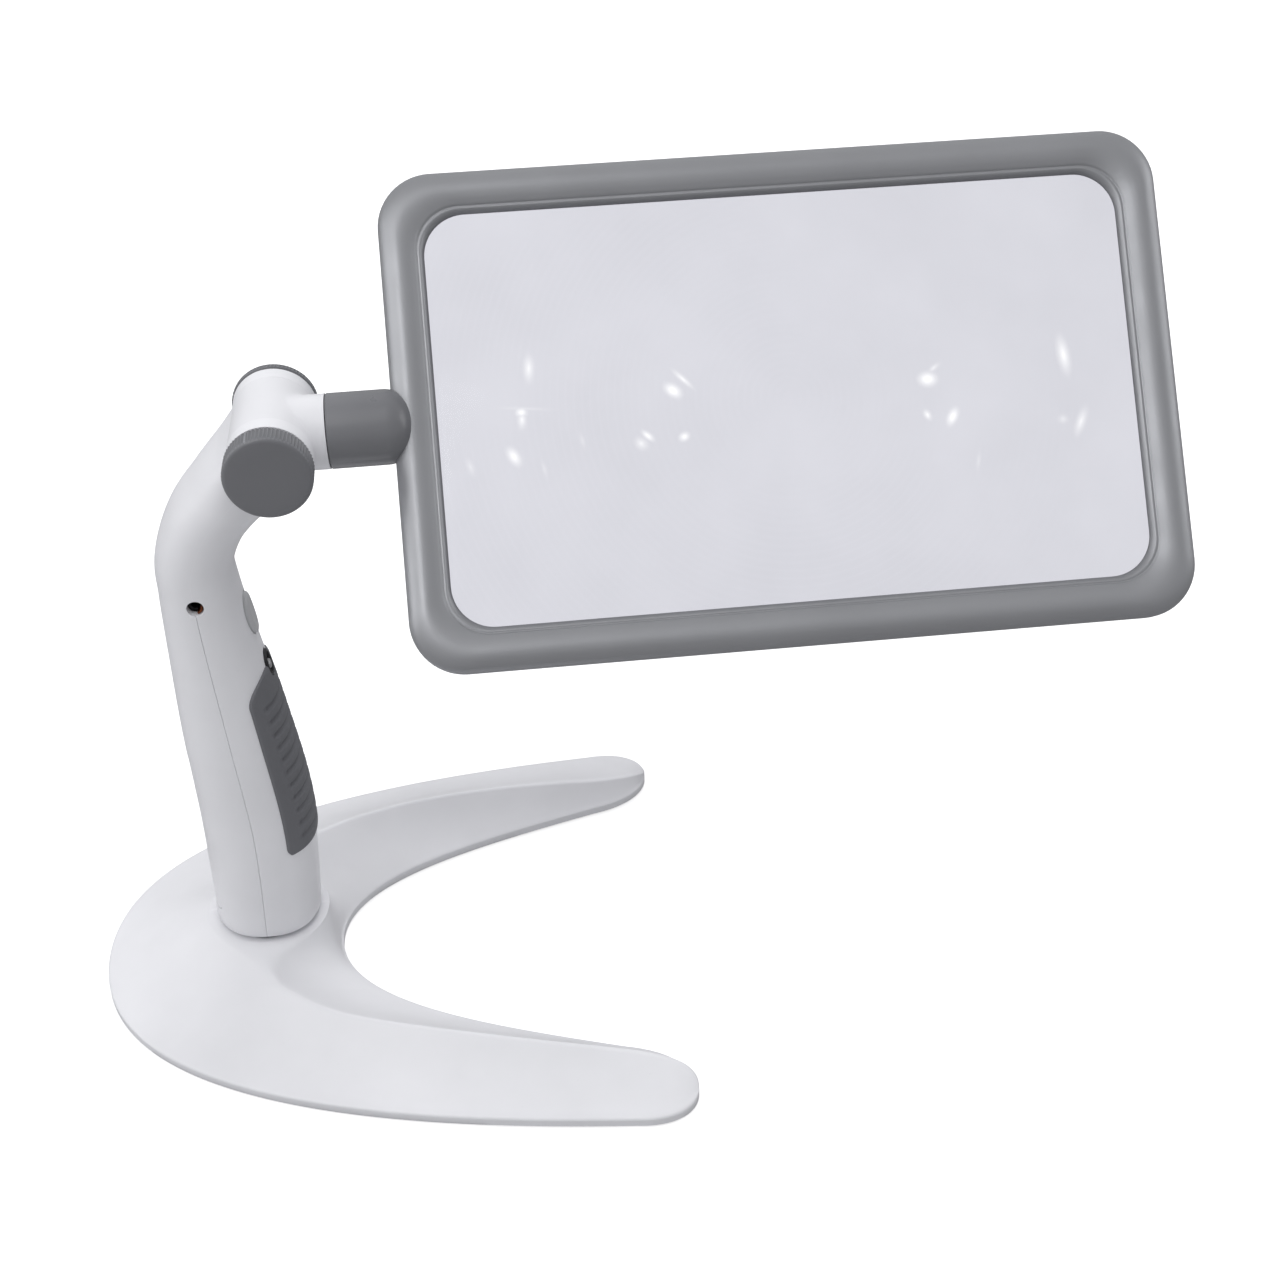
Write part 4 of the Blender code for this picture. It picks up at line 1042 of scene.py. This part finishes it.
def lamp_slot(side, reach, end_radius, radius, z):
    """A slot's outline along one short rail: two half circles round centres end_radius short of its reach."""
    centre = side * (HALF_LENGTH - WINDOW_INSET)
    ring = []
    for y, start in ((reach - end_radius, 0), (end_radius - reach, math.pi)):
        for k in range(9):
            angle = start + math.pi * k / 8
            ring.append(Vector((centre + radius * math.cos(angle), y + radius * math.sin(angle), z)))
    return ring


def make_frame():
    bezel = frame_piece("bezel_ring", BEZEL_TOP)
    back = frame_piece("back_ring", BACK_LOW)
    for piece in (bezel, back):
        room = ((STUB_RADIUS + 0.02, 10), (STUB_RADIUS + 0.02, SLEEVE_END - SLEEVE_DOME))
        combine(piece, turned(f"{piece.name}_tool", room, SWIVEL, "X", 128), "DIFFERENCE")
    for side in (-1, 1):
        slot = [lamp_slot(side, 44.3, 1.2, 1.2, z) for z in (-9, -3.2)]
        combine(back, loft("slot_tool", slot, PLANE), "DIFFERENCE")
    for number in range(1, 7):
        middle = PLANE.inverted() @ box_middle(f"frame_screw_{number}")
        place = PLANE @ Matrix.Translation((middle.x, middle.y, 0))
        combine(back, turned("screw_tool", ((2.6, -9), (2.6, -4.1)), place, "Z", 40), "DIFFERENCE")
    smooth_again(bezel, 38)
    smooth_again(back, 38)
    dress(bezel, "silver_plastic", "lens_frame", "frame_bezel")
    dress(back, "silver_plastic", "lens_frame", "frame_back")


def make_lens():
    """The lens pane, its object axes laid in the frame's plane so that its look follows it."""
    rings = [rounded_loop(LENS_INSET, -1.1), rounded_loop(LENS_INSET, 1.1)]
    rings += [rounded_loop(LENS_INSET + 0.15, 1.2)]
    pane = loft("lens_pane", [rounded_loop(LENS_INSET + 0.15, -1.2)] + rings, Matrix())
    pane.matrix_world = PLANE
    bpy.context.view_layer.update()
    dress(pane, "clear_lens", "lens_frame", "lens")


def make_windows():
    layers = ((-3.3, 0.95), (-4.55, 0.95), (-4.7, 0.8))
    for name, side in (("left", -1), ("right", 1)):
        rings = [lamp_slot(side, 44.0, 0.95, radius, z) for z, radius in layers]
        dress(loft(f"lamp_strip_{name}", rings, PLANE), "frosted_window", "lens_frame", f"led_window_{name}")


# ---------------------------------------------------------------- carried-over nodes

def dress_nodes():
    """Gives every CAD node its finish."""
    for node, made in frame["nodes"].items():
        made.data.materials.clear()
        made.data.materials.append(LOOKS[SLOT_OF[node]])


# ---------------------------------------------------------------- studio

def make_floor():
    work = bmesh.new()
    bmesh.ops.create_grid(work, x_segments=8, y_segments=8, size=4.0)
    mesh = bpy.data.meshes.new("floor")
    work.to_mesh(mesh)
    work.free()
    floor = bpy.data.objects.new("floor", mesh)
    bpy.context.scene.collection.objects.link(floor)
    made, tree, shader = new_material("floor_look")
    coords = tree.nodes.new("ShaderNodeTexCoord").outputs["Object"]
    body = mix_colour(tree, noise(tree, coords, 3.0), (0.60, 0.60, 0.605), (0.62, 0.62, 0.625))
    tree.links.new(body, shader.inputs["Base Color"])
    shader.inputs["Roughness"].default_value = 0.9
    glow = tree.nodes.new("ShaderNodeEmission")
    glow.inputs["Strength"].default_value = FLOOR_GLOW
    path = tree.nodes.new("ShaderNodeLightPath")
    both = tree.nodes.new("ShaderNodeAddShader")
    tree.links.new(shader.outputs["BSDF"], both.inputs[0])
    tree.links.new(glow.outputs["Emission"], both.inputs[1])
    dim = tree.nodes.new("ShaderNodeBsdfDiffuse")
    dim.inputs["Color"].default_value = (0.25, 0.25, 0.255, 1.0)
    bounce = tree.nodes.new("ShaderNodeMixShader")
    tree.links.new(path.outputs["Is Glossy Ray"], bounce.inputs["Fac"])
    tree.links.new(shader.outputs["BSDF"], bounce.inputs[1])
    tree.links.new(dim.outputs["BSDF"], bounce.inputs[2])
    pick = tree.nodes.new("ShaderNodeMixShader")
    tree.links.new(path.outputs["Is Camera Ray"], pick.inputs["Fac"])
    tree.links.new(bounce.outputs["Shader"], pick.inputs[1])
    tree.links.new(both.outputs["Shader"], pick.inputs[2])
    tree.links.new(pick.outputs["Shader"], tree.nodes["Material Output"].inputs["Surface"])
    mesh.materials.append(made)


def area_light(name, place, target, size, power):
    data = bpy.data.lights.new(name, "AREA")
    data.shape = "RECTANGLE"
    data.size, data.size_y = size
    data.energy = power
    lamp = bpy.data.objects.new(name, data)
    bpy.context.scene.collection.objects.link(lamp)
    lamp.location = place
    lamp.rotation_euler = (Vector(target) - Vector(place)).to_track_quat("-Z", "Y").to_euler()
    return lamp


def make_studio():
    make_floor()
    world = bpy.data.worlds.new("studio")
    bpy.context.scene.world = world
    world.use_nodes = True
    sky = world.node_tree.nodes["Background"]
    sky.inputs["Color"].default_value = (0.97, 0.98, 1.0, 1.0)
    sky.inputs["Strength"].default_value = 0.38
    key = area_light("key", (-0.60, -0.80, 1.10), SOFT_MIDDLE, (0.30, 0.30), 1.2)
    key.visible_diffuse = False
    area_light("soft", (-0.78, -0.56, 1.03), SOFT_MIDDLE, (1.1, 0.75), 3.1)
    area_light("left", (-1.3, -0.1, 0.5), (0, 0, 0.1), (0.7, 0.8), 2.9)
    area_light("right", (1.35, 0.1, 0.6), (0, 0, 0.1), (0.7, 0.8), 2.3)
    top = area_light("top", (-0.15, -0.45, 1.45), (0, 0, 0.05), (1.0, 0.8), 6.6)
    back = area_light("back", (0.05, 0.90, 1.10), (0, 0, 0.05), (1.0, 0.8), 6.8)
    for lamp in (top, back):
        lamp.visible_glossy = False
    bpy.context.scene.view_settings.view_transform = "Standard"


def make_camera():
    """The viewing angle: above the table, looking down at the stand from its knob side."""
    data = bpy.data.cameras.new("camera")
    data.lens = LENS_MM
    data.sensor_width = SENSOR_MM
    camera = bpy.data.objects.new("camera", data)
    bpy.context.scene.collection.objects.link(camera)
    eye = SHIFT @ Vector(EYE)
    target = SHIFT @ Vector(TARGET)
    camera.location = eye
    camera.rotation_euler = (target - eye).to_track_quat("-Z", "Y").to_euler()
    bpy.context.scene.camera = camera


def main():
    dress_nodes()
    make_stand()
    make_feet()
    make_shells()
    make_door()
    make_grip()
    make_controls()
    make_knob()
    make_cap()
    make_hub()
    make_sleeve()
    make_frame()
    make_lens()
    make_windows()
    make_studio()
    make_camera()


main()
